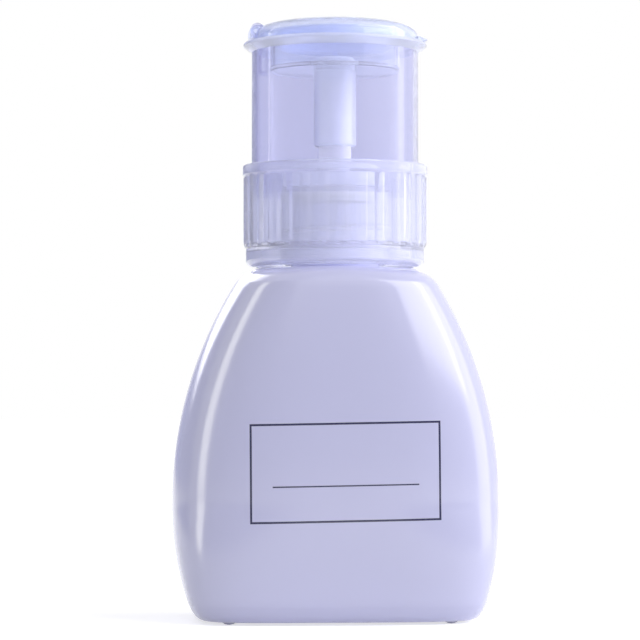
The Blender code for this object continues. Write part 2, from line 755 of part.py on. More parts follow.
def make_piston_seat(finish):
    recess = shank_radius + RUN_GAP
    outline = [
        (STEM_BORE, seat_z),
        (SEAT_RADIUS, seat_z),
        (SEAT_RADIUS, seat_z + SEAT_FLOOR),
        (recess + SHANK_WALL, seat_top_z),
        (recess, seat_top_z),
        (recess, seat_z + SEAT_FLOOR),
        (STEM_BORE, seat_z + SEAT_FLOOR),
    ]
    return turned("piston_seat", outline, SMALL_SIDES, finish)


def make_spring(finish):
    """An open coil: one curl after another at a steady pitch, with an end run straight for a wire's width."""
    low, high = spring_z + SPRING_WIRE / 2, spring_top_z - SPRING_WIRE / 2
    count = SPRING_TURNS * CURL_SIDES
    points = []
    for i in range(count + 1):
        angle = math.tau * i / CURL_SIDES
        z = low + (high - low) * i / count
        points.append(Vector((SPRING_RADIUS * math.cos(angle), SPRING_RADIUS * math.sin(angle), z)))
    points.insert(0, points[0] - Vector((0, SPRING_WIRE, 0)))
    points.append(points[-1] + Vector((0, SPRING_WIRE, 0)))
    curve = bpy.data.curves.new("return_spring", "CURVE")
    curve.dimensions = "3D"
    curve.bevel_depth = SPRING_WIRE / 2
    curve.bevel_resolution = 1
    curve.use_fill_caps = True
    spline = curve.splines.new("POLY")
    spline.points.add(len(points) - 1)
    for place, point in zip(spline.points, points):
        place.co = (*point, 1)
    curve.materials.append(finish)
    made = bpy.data.objects.new("return_spring", curve)
    bpy.context.collection.objects.link(made)
    apart = [
        (a - b).length
        for i, a in enumerate(points)
        for b in points[i + CURL_SIDES // 2 :]
    ]
    print(f"return_spring: least gap to itself {(min(apart) - SPRING_WIRE) / MM:.2f} mm")
    return made


def make_cage(finish):
    outer = chamber_bore - RUN_GAP
    low, high = cage_z, cage_z + CAGE_THICKNESS
    outline = [(CAGE_HOLE, low), (outer, low), (outer, high), (CAGE_HOLE, high)]
    return turned("ball_cage", outline, SMALL_SIDES, finish)


def seated_ball_z(ball_radius, hole_radius, throat_z, gap):
    """The height of a ball's centre on a seat that opens at 45 degrees."""
    apex_z = throat_z - hole_radius
    return apex_z + (ball_radius + gap) * math.sqrt(2)


def make_ball(name, radius, z, finish):
    bm = bmesh.new()
    bmesh.ops.create_icosphere(bm, subdivisions=2, radius=radius, matrix=Matrix.Translation((0, 0, z)))
    return link(name, bm, finish, smooth_angle=math.pi)


def make_dip_tube(finish):
    bore = DIP_TUBE_RADIUS - DIP_TUBE_WALL
    low = floor_z + DIP_FLOOR_CLEARANCE
    outline = [(bore, low), (DIP_TUBE_RADIUS, low), (DIP_TUBE_RADIUS, dip_top_z), (bore, dip_top_z)]
    return turned("dip_tube", outline, SMALL_SIDES, finish)


def hook_outline():
    """The bracket's leg as it is seen from the front: down through the flange, then back up under its edge."""
    outer_x = -hook_reach
    low_z = flange_z - HOOK_LENGTH
    inner_x = outer_x + HOOK_PRONG + HOOK_SLOT
    return [
        (outer_x, lid_z + BRACKET_PLATE / 2),
        (outer_x, low_z),
        (inner_x + HOOK_PRONG, low_z),
        (inner_x + HOOK_PRONG, flange_z - SEAT_GAP),
        (inner_x, flange_z - SEAT_GAP),
        (inner_x, low_z + HOOK_PRONG),
        (outer_x + HOOK_PRONG, low_z + HOOK_PRONG),
        (outer_x + HOOK_PRONG, lid_z + BRACKET_PLATE / 2),
    ]


def make_head(finish):
    socket_chamfer = SOCKET_WALL / 2
    chamber_radius = socket_bore - OUTLET_CHAMBER_STEP
    outline = rounded(
        [
            (OUTLET_HOLE, outlet_ceiling_z, 0),
            (chamber_radius, outlet_ceiling_z, 0),
            (chamber_radius, outlet_chamber_z, 0),
            (socket_bore, outlet_chamber_z, 0),
            (socket_bore, socket_z, 0),
            (socket_radius - socket_chamfer, socket_z, 0),
            (socket_radius, socket_z + socket_chamfer, 0),
            (socket_radius, dish_z - DISH_FLOOR, 0),
            (DISH_RADIUS + DISH_WALL, dish_z - DISH_FLOOR, DISH_ROUND),
            (DISH_RADIUS + DISH_WALL, flange_z, 0),
            (sleeve_bore, flange_z, 0),
            (sleeve_bore, sleeve_z, 0),
            (sleeve_radius, sleeve_z, 0),
            (sleeve_radius, flange_z - FLANGE_TAPER, 0),
            (flange_radius, flange_top_z - FLANGE_EDGE, 0),
            (flange_radius, flange_top_z, FLANGE_ROUND),
            (DISH_RADIUS, flange_top_z, 0),
            (DISH_RADIUS, dish_z, DISH_ROUND - DISH_WALL / 2),
            (OUTLET_RADIUS, dish_z, 0),
            (OUTLET_RADIUS, outlet_top_z, OUTLET_ROUND),
            (OUTLET_HOLE, outlet_top_z, 0),
        ]
    )
    head = turned("press_head", outline, WIDE_SIDES, finish)
    hook = hook_outline()
    slot_low = min(x for x, _ in hook) - RUN_GAP
    slot_high = max(x for x, _ in hook) - HOOK_CATCH
    half_width = HOOK_WIDTH / 2 + RUN_GAP
    slot = box_bmesh((slot_low, -half_width, flange_z - OVERRUN), (slot_high, half_width, flange_top_z + OVERRUN))
    combine(head, helper("hook_slot", slot, finish), "DIFFERENCE")
    return head


def ear_reach():
    """How far the bracket's ears reach from its middle."""
    return KNUCKLE_WIDTH / 2 + RUN_GAP + EAR_THICKNESS


def ear_outline():
    """One ear as it is seen from the front: straight sides under a half round."""
    low_z = lid_z + BRACKET_PLATE / 2
    outline = [(hinge_x - EAR_RADIUS, low_z)]
    steps = PIN_SIDES // 2
    for step in range(steps + 1):
        angle = math.pi * (1 - step / steps)
        outline.append((hinge_x + EAR_RADIUS * math.cos(angle), hinge_z + EAR_RADIUS * math.sin(angle)))
    outline.append((hinge_x + EAR_RADIUS, low_z))
    return outline


def make_bracket(finish):
    half_width = ear_reach() + BRACKET_LEDGE
    hook = hook_outline()
    plate_low_x = hinge_x - EAR_RADIUS - BRACKET_LEDGE
    plate_high_x = max(x for x, _ in hook) + BRACKET_LEDGE
    plate = box_bmesh((plate_low_x, -half_width, lid_z), (plate_high_x, half_width, lid_z + BRACKET_PLATE))
    bracket = link("hinge_bracket", plate, finish)
    combine(bracket, helper("bracket_hook", extruded_bmesh(hook, HOOK_WIDTH / 2), finish), "UNION")
    for side in (-1, 1):
        ear = extruded_bmesh(ear_outline(), EAR_THICKNESS / 2)
        bmesh.ops.translate(ear, verts=ear.verts, vec=(0, side * (ear_reach() - EAR_THICKNESS / 2), 0))
        combine(bracket, helper(f"ear_{side + 1}", ear, finish), "UNION")
    reach = half_width + OVERRUN
    bore = cylinder_bmesh(TRUNNION_RADIUS + TRUNNION_GAP, (hinge_x, -reach, hinge_z), (hinge_x, reach, hinge_z))
    combine(bracket, helper("ear_bore", bore, finish), "DIFFERENCE")
    return bracket


def lid_curve(radius, height, steps):
    """The lid's domed section, from its rim to its crown."""
    for step in range(steps + 1):
        angle = math.pi / 2 * (1 - step / steps)
        across = radius * math.sin(angle) ** (1 - LID_SQUARENESS_SHARE)
        up = height * max(0, math.cos(angle)) ** (1 - LID_SQUARENESS_SHARE)
        yield across, lid_z + (up if step else 0)


def make_lid(finish):
    dome_steps = 8
    outside = list(lid_curve(lid_radius, LID_HEIGHT, dome_steps))
    inside = list(lid_curve(lid_radius - LID_WALL, LID_HEIGHT - LID_WALL, dome_steps))
    ceiling_z = lid_top_z - LID_WALL
    outline = [*outside[:-1], (0, lid_top_z)]
    pin_z = outlet_top_z + SEAT_GAP
    outline += [(0, pin_z), (LID_PIN_RADIUS / 2, pin_z), (LID_PIN_RADIUS, ceiling_z)]
    ring_outer = DISH_RADIUS - LID_RING_GAP
    ring_inner = ring_outer - LID_RING_WALL
    ring_z = lid_z - LID_RING_REACH
    under_inner = [p for p in inside[::-1] if LID_PIN_RADIUS < p[0] < ring_inner]
    under_outer = [p for p in inside[::-1] if p[0] > ring_outer]
    ring_root_z = under_outer[0][1]
    outline += under_inner
    outline += [(ring_inner, ring_root_z), (ring_inner, ring_z), (ring_outer, ring_z), (ring_outer, ring_root_z)]
    outline += under_outer
    lid = turned("flip_lid", outline, WIDE_SIDES, finish)
    half_width = ear_reach() + BRACKET_LEDGE + BRACKET_MARGIN
    reach = lid_radius + OVERRUN
    notch_x = hinge_x + NOTCH_REACH
    notch = box_bmesh((-reach, -half_width, lid_z - OVERRUN), (notch_x, half_width, lid_top_z + OVERRUN))
    combine(lid, helper("hinge_notch", notch, finish), "DIFFERENCE")
    # The tab starts inside the lid's wall, also at its own two sides, where the wall has curved away
    tab_root = math.sqrt(lid_radius**2 - (TAB_WIDTH / 2) ** 2) - LID_WALL / 4
    tab_outline = [
        (tab_root, lid_z + TAB_LIFT),
        (flange_radius - TAB_INSET, lid_z + TAB_LIFT),
        (flange_radius - TAB_INSET, lid_z + TAB_LIFT + TAB_TIP),
        (lid_radius, lid_z + TAB_THICKNESS),
        (tab_root, lid_z + TAB_THICKNESS),
    ]
    combine(lid, helper("thumb_tab", extruded_bmesh(tab_outline, TAB_WIDTH / 2), finish), "UNION")
    knuckle_half = KNUCKLE_WIDTH / 2
    arm_top = hinge_z + KNUCKLE_RADIUS - ARM_LEDGE
    arm_half = knuckle_half - ARM_LEDGE
    arm = box_bmesh((hinge_x, -arm_half, arm_top - ARM_THICKNESS), (notch_x + LID_WALL, arm_half, arm_top))
    combine(lid, helper("hinge_arm", arm, finish), "UNION")
    for name, radius, half in (
        ("knuckle", KNUCKLE_RADIUS, knuckle_half),
        ("trunnions", TRUNNION_RADIUS, knuckle_half + TRUNNION_REACH),
    ):
        bar = cylinder_bmesh(radius, (hinge_x, -half, hinge_z), (hinge_x, half, hinge_z))
        combine(lid, helper(name, bar, finish), "UNION")
    return lid


def joint_marker(name, place, parent=None):
    """An empty on a joint's axis, for the pieces that move on it."""
    marker = bpy.data.objects.new(name, None)
    marker.empty_display_size = STROKE
    bpy.context.collection.objects.link(marker)
    marker.location = place
    marker.parent = parent
    return marker


def hang(pieces, marker):
    """Parents pieces to a joint's marker, where they are."""
    bpy.context.view_layer.update()
    for piece in pieces:
        piece.parent = marker
        piece.matrix_parent_inverse = marker.matrix_world.inverted()


def main():
    clear_scene()
    milky = material("milky_plastic", (0.78, 0.78, 0.88), 0.35)
    clear = material("clear_plastic", (0.80, 0.84, 0.96), 0.12, alpha=0.45)
    cloudy = material("cloudy_plastic", (0.84, 0.86, 0.93), 0.3)
    soft = material("soft_plastic", (0.88, 0.88, 0.88), 0.5)
    rubber = material("seal_rubber", (0.75, 0.76, 0.78), 0.6)
    steel = metal("spring_steel", (0.62, 0.62, 0.60), 0.28)
    glass_ball = material("valve_glass", (0.86, 0.92, 0.96), 0.05, alpha=0.6)

    make_bottle(milky)
    inlet_ball_z = seated_ball_z(INLET_BALL_RADIUS, INLET_HOLE, inlet_throat_z, INLET_SEAT_GAP)

    pump = joint_marker("pump_lift", (0, 0, lip_z))
    collar_turn = joint_marker("collar_turn", (0, 0, 0), pump)
    press = joint_marker("head_press", (0, 0, 0), pump)
    head_turn = joint_marker("head_turn", (0, 0, 0), press)
    lid_hinge = joint_marker("lid_hinge", (hinge_x, 0, hinge_z - lip_z), head_turn)

    hang(
        [
            make_housing(cloudy),
            make_gasket(rubber),
            make_guide_cap(clear),
            make_wiper(rubber),
            make_dip_tube(cloudy),
            make_cage(cloudy),
            make_spring(steel),
            make_ball("inlet_ball", INLET_BALL_RADIUS, inlet_ball_z, steel),
        ],
        pump,
    )
    hang([make_collar(clear)], collar_turn)
    hang([make_piston_seal(soft), make_piston_seat(cloudy)], press)
    outlet_ball = make_ball("outlet_ball", OUTLET_BALL_RADIUS, outlet_ball_z, glass_ball)
    hang([make_head(clear), make_stem(cloudy), make_bracket(clear), outlet_ball], head_turn)
    hang([make_lid(clear)], lid_hinge)

    lifts = {
        "inlet_ball": (inlet_ball_z + INLET_BALL_RADIUS + INLET_LIFT, cage_z),
        "outlet_ball": (outlet_ball_z + OUTLET_BALL_RADIUS + OUTLET_LIFT, outlet_ceiling_z),
    }
    for name, (top, stop) in lifts.items():
        print(f"{name}: {(stop - top) / MM:.2f} mm left above it when it is fully lifted")
    print(f"lid hinge axis at x {hinge_x / MM:.2f} mm, z {hinge_z / MM:.2f} mm; lid top at {lid_top_z / MM:.2f} mm")


main()
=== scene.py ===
# %% [markdown]
# # Dressing a pump dispenser bottle
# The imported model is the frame: it fixes where each piece is and how it moves. This lesson gives every piece
# its fine surface and its finish, and then lights it the way a small studio would.

# %% Load the frame
import json
import math
from functools import partial
import bmesh
import bpy
from mathutils import Matrix, Vector

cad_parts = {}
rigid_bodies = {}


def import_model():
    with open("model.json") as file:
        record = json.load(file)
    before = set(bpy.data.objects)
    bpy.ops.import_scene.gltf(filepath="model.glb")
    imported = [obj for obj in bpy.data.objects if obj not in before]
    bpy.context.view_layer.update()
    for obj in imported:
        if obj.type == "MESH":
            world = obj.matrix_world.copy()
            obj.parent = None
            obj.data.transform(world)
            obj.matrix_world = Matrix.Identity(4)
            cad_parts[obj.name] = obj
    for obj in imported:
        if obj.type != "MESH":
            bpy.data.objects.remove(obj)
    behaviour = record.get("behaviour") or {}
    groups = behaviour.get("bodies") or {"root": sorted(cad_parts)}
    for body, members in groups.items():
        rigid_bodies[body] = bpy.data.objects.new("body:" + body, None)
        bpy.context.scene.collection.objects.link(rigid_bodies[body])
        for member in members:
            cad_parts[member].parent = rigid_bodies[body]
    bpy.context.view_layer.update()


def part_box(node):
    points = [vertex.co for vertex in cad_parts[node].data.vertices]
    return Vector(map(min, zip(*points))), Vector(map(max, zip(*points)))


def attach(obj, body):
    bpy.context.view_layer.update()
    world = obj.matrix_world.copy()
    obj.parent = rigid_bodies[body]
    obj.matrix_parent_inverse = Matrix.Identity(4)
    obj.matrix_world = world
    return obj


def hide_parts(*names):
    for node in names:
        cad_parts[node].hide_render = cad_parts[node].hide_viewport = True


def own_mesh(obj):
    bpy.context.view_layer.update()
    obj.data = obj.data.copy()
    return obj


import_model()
MM = 0.001


def mm(*sizes):
    """Sizes written in millimetres, in metres."""
    return [size * MM for size in sizes]


# %% [markdown]
# ## The camera
# The bottle is seen from the height of its label and turned a few degrees, through a long lens that keeps
# its sides nearly straight. The lens follows from how many millimetres one pixel covers at the axis.

# %% Place the camera
IMAGE_PIXELS, SENSOR = 640, 36.0
PIXEL_SIZE, VIEW_DISTANCE, EYE_HEIGHT = mm(0.2462, 695, 54.75)
AIM_HEIGHT, AIM_LEFT = mm(73.5, 3.7)
VIEW_TURN = math.radians(5.0)
CLIP_NEAR, CLIP_FAR = 0.02, 20

toward_camera = Vector((-math.sin(VIEW_TURN), -math.cos(VIEW_TURN), 0))
image_right = Vector((math.cos(VIEW_TURN), -math.sin(VIEW_TURN), 0))
camera_data = bpy.data.cameras.new("portrait_camera")
camera_data.sensor_width = SENSOR
camera_data.lens = SENSOR * VIEW_DISTANCE / (IMAGE_PIXELS * PIXEL_SIZE)
camera_data.clip_start, camera_data.clip_end = CLIP_NEAR, CLIP_FAR
camera = bpy.data.objects.new("portrait_camera", camera_data)
bpy.context.collection.objects.link(camera)
camera.location = toward_camera * VIEW_DISTANCE + Vector((0, 0, EYE_HEIGHT))
aim = Vector((0, 0, AIM_HEIGHT)) - image_right * AIM_LEFT
camera.rotation_euler = (aim - camera.location).to_track_quat("-Z", "Y").to_euler()
bpy.context.scene.camera = camera
print(f"lens {camera_data.lens:.1f} mm at {VIEW_DISTANCE / MM:.0f} mm")

# %% [markdown]
# ## Finishes
# Moulded plastic is never quite even: the mould's polish leaves a faint waviness, and handling leaves fine
# speckle in the gloss. One shader group gives both, as a height for the Bump node and a change of roughness.
# It reads Object coordinates, so the grain stays on the piece when the piece moves.

# %% Node helpers
SOCKET_KINDS = {float: "Float", tuple: "Color"}


def put(tree, kind, **settings):
    """Adds a node, sets its properties, and fills or links its inputs given as a dictionary."""
    inputs = settings.pop("inputs", {})
    node = tree.nodes.new(kind)
    for name, value in settings.items():
        setattr(node, name, value)
    for key, value in inputs.items():
        if isinstance(value, bpy.types.NodeSocket):
            tree.links.new(value, node.inputs[key])
        else:
            node.inputs[key].default_value = value
    return node


def result(tree, kind, **settings):
    """Adds a node: its first output."""
    return put(tree, kind, **settings).outputs[0]


def calc(tree, operation, a, b=0.0, c=0.0, clamp=False):
    """One step of arithmetic: the result's socket."""
    inputs = {0: a, 1: b, 2: c}
    return result(tree, "ShaderNodeMath", operation=operation, use_clamp=clamp, inputs=inputs)


def mix(tree, factor, first, second):
    """Mixes two colours: the result's socket."""
    inputs = {"Factor": factor, "A": first, "B": second}
    return put(tree, "ShaderNodeMix", data_type="RGBA", inputs=inputs).outputs["Result"]


def new_group(name, kind, inputs, outputs):
    """A tree with named sockets, and what it is given. An input is a number, a colour or its kind's name."""
    tree = bpy.data.node_groups.new(name, kind)
    for label, value in inputs.items():
        word = SOCKET_KINDS.get(type(value), value)
        socket = tree.interface.new_socket(label, in_out="INPUT", socket_type="NodeSocket" + word)
        if word != value:
            socket.default_value = value
    for label, word in outputs.items():
        tree.interface.new_socket(label, in_out="OUTPUT", socket_type="NodeSocket" + word)
    return tree, put(tree, "NodeGroupInput").outputs


def end_group(tree, **outputs):
    put(tree, "NodeGroupOutput", inputs=outputs)
    print(f"{tree.name}: {len(tree.nodes)} nodes")


# %% The moulded surface, as a shader group
WAVE_SIZE, GRAIN_SIZE = 90.0, 2500.0
WAVE_DETAIL, GRAIN_DETAIL = 1.0, 2.0
moulded, given = new_group(
    "moulded_surface",
    "ShaderNodeTree",
    {
        "Position": "Vector", "Wave Size": WAVE_SIZE, "Grain Size": GRAIN_SIZE,
        "Grain Share": 0.15, "Roughness": 0.3, "Roughness Change": 0.05,
    },
    {"Height": "Float", "Roughness": "Float"},
)
noises = []
for size, detail in (("Wave Size", WAVE_DETAIL), ("Grain Size", GRAIN_DETAIL)):
    inputs = {"Vector": given["Position"], "Scale": given[size], "Detail": detail}
    noises.append(put(moulded, "ShaderNodeTexNoise", inputs=inputs).outputs["Fac"])
wave, grain = noises
do = partial(calc, moulded)
height = do("ADD", wave, do("MULTIPLY", grain, given["Grain Share"]))
uneven = do("MULTIPLY_ADD", do("SUBTRACT", grain, 0.5), given["Roughness Change"], given["Roughness"])
end_group(moulded, Height=height, Roughness=uneven)

# %% [markdown]
# ## The printed frame
# The label is a thin dark frame with a ruled line in it, screen-printed a little out of level on the front.
# A print has no thickness that shows, so it is a mask in the material: the group measures how far a point is
# from the print's lines, in the print's turned axes.

# %% The printed frame, as a shader group
LINE_HALF, RULE_HALF = 0.5, 0.35
LABEL = {
    "Centre X": 0.55 * MM, "Centre Z": 36.65 * MM, "Half Width": 22.6 * MM, "Half Height": 11.6 * MM,
    "Line": 0.5 * MM, "Tilt": math.radians(1.05), "Lean": math.radians(0.3), "Rule Drop": 3.2 * MM,
    "Rule Half": 17.5 * MM,
}
frame_print, given = new_group(
    "printed_frame", "ShaderNodeTree", {"Position": "Vector", **LABEL}, {"Ink": "Float"}
)
do = partial(calc, frame_print)
apart = put(frame_print, "ShaderNodeSeparateXYZ", inputs={0: given["Position"]}).outputs
from_x = do("SUBTRACT", apart["X"], given["Centre X"])
from_z = do("SUBTRACT", apart["Z"], given["Centre Z"])
along = do("MULTIPLY_ADD", from_z, do("SINE", given["Lean"]), from_x)
across = do("SUBTRACT", from_z, do("MULTIPLY", from_x, do("SINE", given["Tilt"])))
out_x = do("SUBTRACT", do("ABSOLUTE", along), given["Half Width"])
out_z = do("SUBTRACT", do("ABSOLUTE", across), given["Half Height"])
from_edge = do("ABSOLUTE", do("MAXIMUM", out_x, out_z))
on_edge = do("LESS_THAN", from_edge, do("MULTIPLY", given["Line"], LINE_HALF))
from_rule = do("ABSOLUTE", do("ADD", across, given["Rule Drop"]))
rule_long = do("LESS_THAN", do("ABSOLUTE", along), given["Rule Half"])
rule_thin = do("LESS_THAN", from_rule, do("MULTIPLY", given["Line"], RULE_HALF))
on_rule = do("MULTIPLY", rule_long, rule_thin)
front = do("LESS_THAN", apart["Y"], 0.0)
ink = do("MULTIPLY", do("MAXIMUM", on_edge, on_rule), front)
end_group(frame_print, Ink=ink)

# %% [markdown]
# ## Tint that follows the wall
# A clear wall looks the darker and the bluer, the longer the light's way in it: the head's sleeve is seen
# twice, in front and behind, and the dish inside it is one thin floor. This group mixes two tints by the
# distance from the pump's axis, and gives a third beyond a rim.

# %% The tint by distance from the axis, as a shader group


def from_axis(tree, apart):
    """How far a point is from the pump's axis."""
    y_square = calc(tree, "MULTIPLY", apart["Y"], apart["Y"])
    return calc(tree, "SQRT", calc(tree, "MULTIPLY_ADD", apart["X"], apart["X"], y_square))


wall_tint, given = new_group(
    "wall_tint",
    "ShaderNodeTree",
    {
        "Position": "Vector", "Inner Colour": "Color", "Outer Colour": "Color", "Rim Colour": "Color",
        "Inner Radius": "Float", "Outer Radius": "Float", "Rim Radius": 0.021,
    },
    {"Colour": "Color"},
)
apart = put(wall_tint, "ShaderNodeSeparateXYZ", inputs={0: given["Position"]}).outputs
reach = from_axis(wall_tint, apart)
inputs = {"Value": reach, "From Min": given["Inner Radius"], "From Max": given["Outer Radius"]}
outward = result(wall_tint, "ShaderNodeMapRange", inputs=inputs)
wall = mix(wall_tint, outward, given["Inner Colour"], given["Outer Colour"])
at_rim = calc(wall_tint, "GREATER_THAN", reach, given["Rim Radius"])
tinted = mix(wall_tint, at_rim, wall, given["Rim Colour"])
end_group(wall_tint, Colour=tinted)

# %% [markdown]
# ## Plastics
# The bottle is milky polyethylene with a satin skin. The collar, the press head and the lid are clear
# polypropylene, which keeps a little haze and a cool tint. The stem and the pump are the same plastic
# uncleared, so they look cloudy white. Light that is bent can't be followed back to a lamp, so a clear piece
# would throw a black shadow: its Alpha is nearly nothing for shadow rays.

# %% Plastic makers
SHADOW_PASS, CLEAR_GLOSS = 0.97, 0.35


def shader_of(material):
    return material.node_tree.nodes["Principled BSDF"]


def use_group(tree, group, values):
    """Places a shader group that reads Object coordinates: its outputs."""
    place = put(tree, "ShaderNodeTexCoord").outputs["Object"]
    return put(tree, "ShaderNodeGroup", node_tree=group, inputs={"Position": place, **values}).outputs


def paint(name, colour, **sockets):
    """A Principled material, with its tree and its shader."""
    made = bpy.data.materials.new(name)
    made.use_nodes = True
    made.diffuse_color = (*colour, 1)
    shader = shader_of(made)
    for socket, value in {"Base Color": (*colour, 1), **sockets}.items():
        shader.inputs[socket.replace("_", " ")].default_value = value
    return made, made.node_tree, shader


def plastic(name, colour, roughness, bump=0.02, wave=WAVE_SIZE, grain=GRAIN_SIZE, **sockets):
    """A material whose roughness and bump come from the moulded surface."""
    made, tree, shader = paint(name, colour, **sockets)
    skin = use_group(tree, moulded, {"Wave Size": wave, "Grain Size": grain, "Roughness": roughness})
    relief = {"Strength": bump, "Distance": 1 * MM, "Height": skin["Height"]}
    tree.links.new(skin["Roughness"], shader.inputs["Roughness"])
    tree.links.new(result(tree, "ShaderNodeBump", inputs=relief), shader.inputs["Normal"])
    return made


def see_through(name, colour, roughness, transmission, ior=1.33):
    """A clear plastic that throws only a faint shadow."""
    clarity = {"Transmission_Weight": transmission, "IOR": ior, "Specular_IOR_Level": CLEAR_GLOSS}
    made = plastic(name, colour, roughness, bump=0.01, **clarity)
    tree = made.node_tree
    shadow = put(tree, "ShaderNodeLightPath").outputs["Is Shadow Ray"]
    solid_share = calc(tree, "MULTIPLY_ADD", shadow, -SHADOW_PASS, 1.0)
    tree.links.new(solid_share, shader_of(made).inputs["Alpha"])
    return made


def tint_by_radius(material, colours, radii):
    """Lets the wall's tint follow the distance from the pump's axis: inner, outer and rim colour."""
    values = {f"{place} Colour": (*colour, 1) for place, colour in zip(("Inner", "Outer", "Rim"), colours)}
    values |= {f"{place} Radius": radius for place, radius in zip(("Inner", "Outer"), radii)}
    tint = use_group(material.node_tree, wall_tint, values)["Colour"]
    material.node_tree.links.new(tint, shader_of(material).inputs["Base Color"])


# %% Make the plastics, the seal's rubber, the spring's steel and the glass
MILK = (0.555, 0.56, 0.81)
CLEAR_TINT = (0.84, 0.85, 0.96)
LID_TINT = (0.75, 0.795, 0.975)
HAZE_TINT = (0.93, 0.95, 1.0)
FLANGE_TINT = (0.88, 0.905, 1.0)
DISH_TINT, SLEEVE_TINT, BRACKET_TINT = (0.93, 0.96, 1.0), (0.71, 0.715, 0.87), (0.84, 0.87, 1.0)
DECK_TINT, SKIRT_TINT = (0.96, 0.97, 1.0), (0.82, 0.832, 0.96)
milky = plastic("milky_plastic", MILK, 0.17, wave=60.0, Specular_IOR_Level=0.9)
clear = see_through("clear_plastic", CLEAR_TINT, 0.03, 0.90, ior=1.2)
tint_by_radius(clear, (DISH_TINT, SLEEVE_TINT, BRACKET_TINT), mm(16.4, 18))
frosted = see_through("frosted_plastic", CLEAR_TINT, 0.10, 0.74)
tint_by_radius(frosted, (DECK_TINT, SKIRT_TINT, SKIRT_TINT), mm(9, 20))
lid_clear = see_through("lid_plastic", LID_TINT, 0.06, 0.80)
dome_clear = see_through("dome_plastic", HAZE_TINT, 0.12, 0.5)
hazy = see_through("boss_plastic", HAZE_TINT, 0.06, 0.7)
rim_clear = see_through("flange_plastic", FLANGE_TINT, 0.06, 0.7)
depth = {"Subsurface_Weight": 1.0, "Subsurface_Radius": (1.0, 1.0, 1.0), "Subsurface_Scale": 4 * MM}
cloudy = plastic("cloudy_plastic", (0.94, 0.95, 1.0), 0.28, **depth)
soft = plastic("soft_plastic", (0.88, 0.89, 0.96), 0.5)
rubber = plastic("seal_rubber", (0.84, 0.85, 0.92), 0.6, bump=0.05)
steel = plastic("spring_steel", (0.60, 0.60, 0.58), 0.25, grain=6000.0, Metallic=1.0)
bead = plastic("valve_glass", (0.90, 0.94, 0.97), 0.02, bump=0.0, Transmission_Weight=1.0, IOR=1.52)

# %% Print the frame on the milky plastic
INK_COLOUR = (0.012, 0.012, 0.065)
tree = milky.node_tree
ink = use_group(tree, frame_print, LABEL)["Ink"]
tree.links.new(mix(tree, ink, (*MILK, 1), (*INK_COLOUR, 1)), shader_of(milky).inputs["Base Color"])
print("materials:", ", ".join(m.name for m in bpy.data.materials))

# %% [markdown]
# ## Turned pieces
# Almost everything here is round, so one helper does the work of a lathe: it spins an outline of radius and
# height into a closed wall, and another rounds the outline's corners where they ask for it.

# %% A lathe
SMOOTH_ANGLE, ARC_STEPS = 30, 6


def in_mm(*corners):
    """Corners whose radius and height are in millimetres too."""
    return [(*mm(across, up), rounding) for across, up, rounding in corners]


def rounded(*corners):
    """An outline from corners (radius, height, rounding in millimetres). Each rounding becomes an arc."""
    outline = []
    for i, (across, up, rounding) in enumerate(corners):
        here, radius = Vector((across, up)), rounding * MM
        if not radius:
            outline.append(here)
            continue
        before = (Vector(corners[i - 1][:2]) - here).normalized()
        after = (Vector(corners[(i + 1) % len(corners)][:2]) - here).normalized()
        half = before.angle(after) / 2
        start, end = (here + side * (radius / math.tan(half)) for side in (before, after))
        centre = here + (before + after).normalized() * (radius / math.sin(half))
        for step in range(ARC_STEPS + 1):
            point = start.lerp(end, step / ARC_STEPS) - centre
            outline.append(centre + point.normalized() * radius)
    return outline


def fine_steps(outline, low, high, radius, gap):
    """Adds points every gap along the outline's upright wall at that radius, between two heights."""
    made = []
    for here, there in zip(outline, outline[1:] + outline[:1]):
        made.append(here)
        upright = abs(here[0] - radius) < MM / 100 and abs(there[0] - radius) < MM / 100
        if upright and min(here[1], there[1]) <= low + gap and max(here[1], there[1]) >= high - gap:
            count = round(abs(there[1] - here[1]) / gap)
            made += [Vector((radius, here[1] + (there[1] - here[1]) * i / count)) for i in range(1, count)]
    return made


def smooth(mesh, angle=SMOOTH_ANGLE):
    mesh.shade_smooth()
    mesh.set_sharp_from_angle(angle=math.radians(angle))


def mesh_object(name, bm, material, angle=SMOOTH_ANGLE):
    """Makes a bmesh an object in its material, with its faces turned outwards."""
    bmesh.ops.recalc_face_normals(bm, faces=bm.faces)
    mesh = bpy.data.meshes.new(name)
    bm.to_mesh(mesh)
    bm.free()
    smooth(mesh, angle)
    mesh.materials.append(material)
    made = bpy.data.objects.new(name, mesh)
    bpy.context.collection.objects.link(made)
    return made


def bridge(bm, loops, sides):
    """Faces between loops of points, each with so many sides or one pole."""
    for one, two in zip(loops, loops[1:]):
        if len(one) == len(two) == 1:
            continue
        for i in range(sides):
            j = (i + 1) % sides
            corners = [one[i % len(one)], one[j % len(one)], two[j % len(two)], two[i % len(two)]]
            bm.faces.new(list(dict.fromkeys(corners)))


def turn(name, outline, material, sides=96):
    """Spins an outline about the Z axis. A point with no radius becomes one pole."""
    bm = bmesh.new()
    loops = []
    for radius, up in outline:
        if radius < MM / 1000:
            loops.append([bm.verts.new((0, 0, up))])
            continue
        angles = (math.tau * i / sides for i in range(sides))
        loops.append([bm.verts.new((radius * math.cos(a), radius * math.sin(a), up)) for a in angles])
    bridge(bm, loops + loops[:1], sides)
    return mesh_object(name, bm, material)


def wear(piece, body, slot, *nodes):
    """Says what a finished piece moves with and which plain nodes it stands for, hiding them; the slot is not
    used.
    """
    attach(piece, body)
    if nodes:
        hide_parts(*nodes)
    print(f"{piece.name}: {len(piece.data.polygons)} faces")


# %% Solid tools


def box_mesh(low, high):
    bm = bmesh.new()
    low, high = Vector(low), Vector(high)
    size = Matrix.Diagonal((*(high - low), 1))
    bmesh.ops.create_cube(bm, size=1, matrix=Matrix.Translation((low + high) / 2) @ size)
    return bm


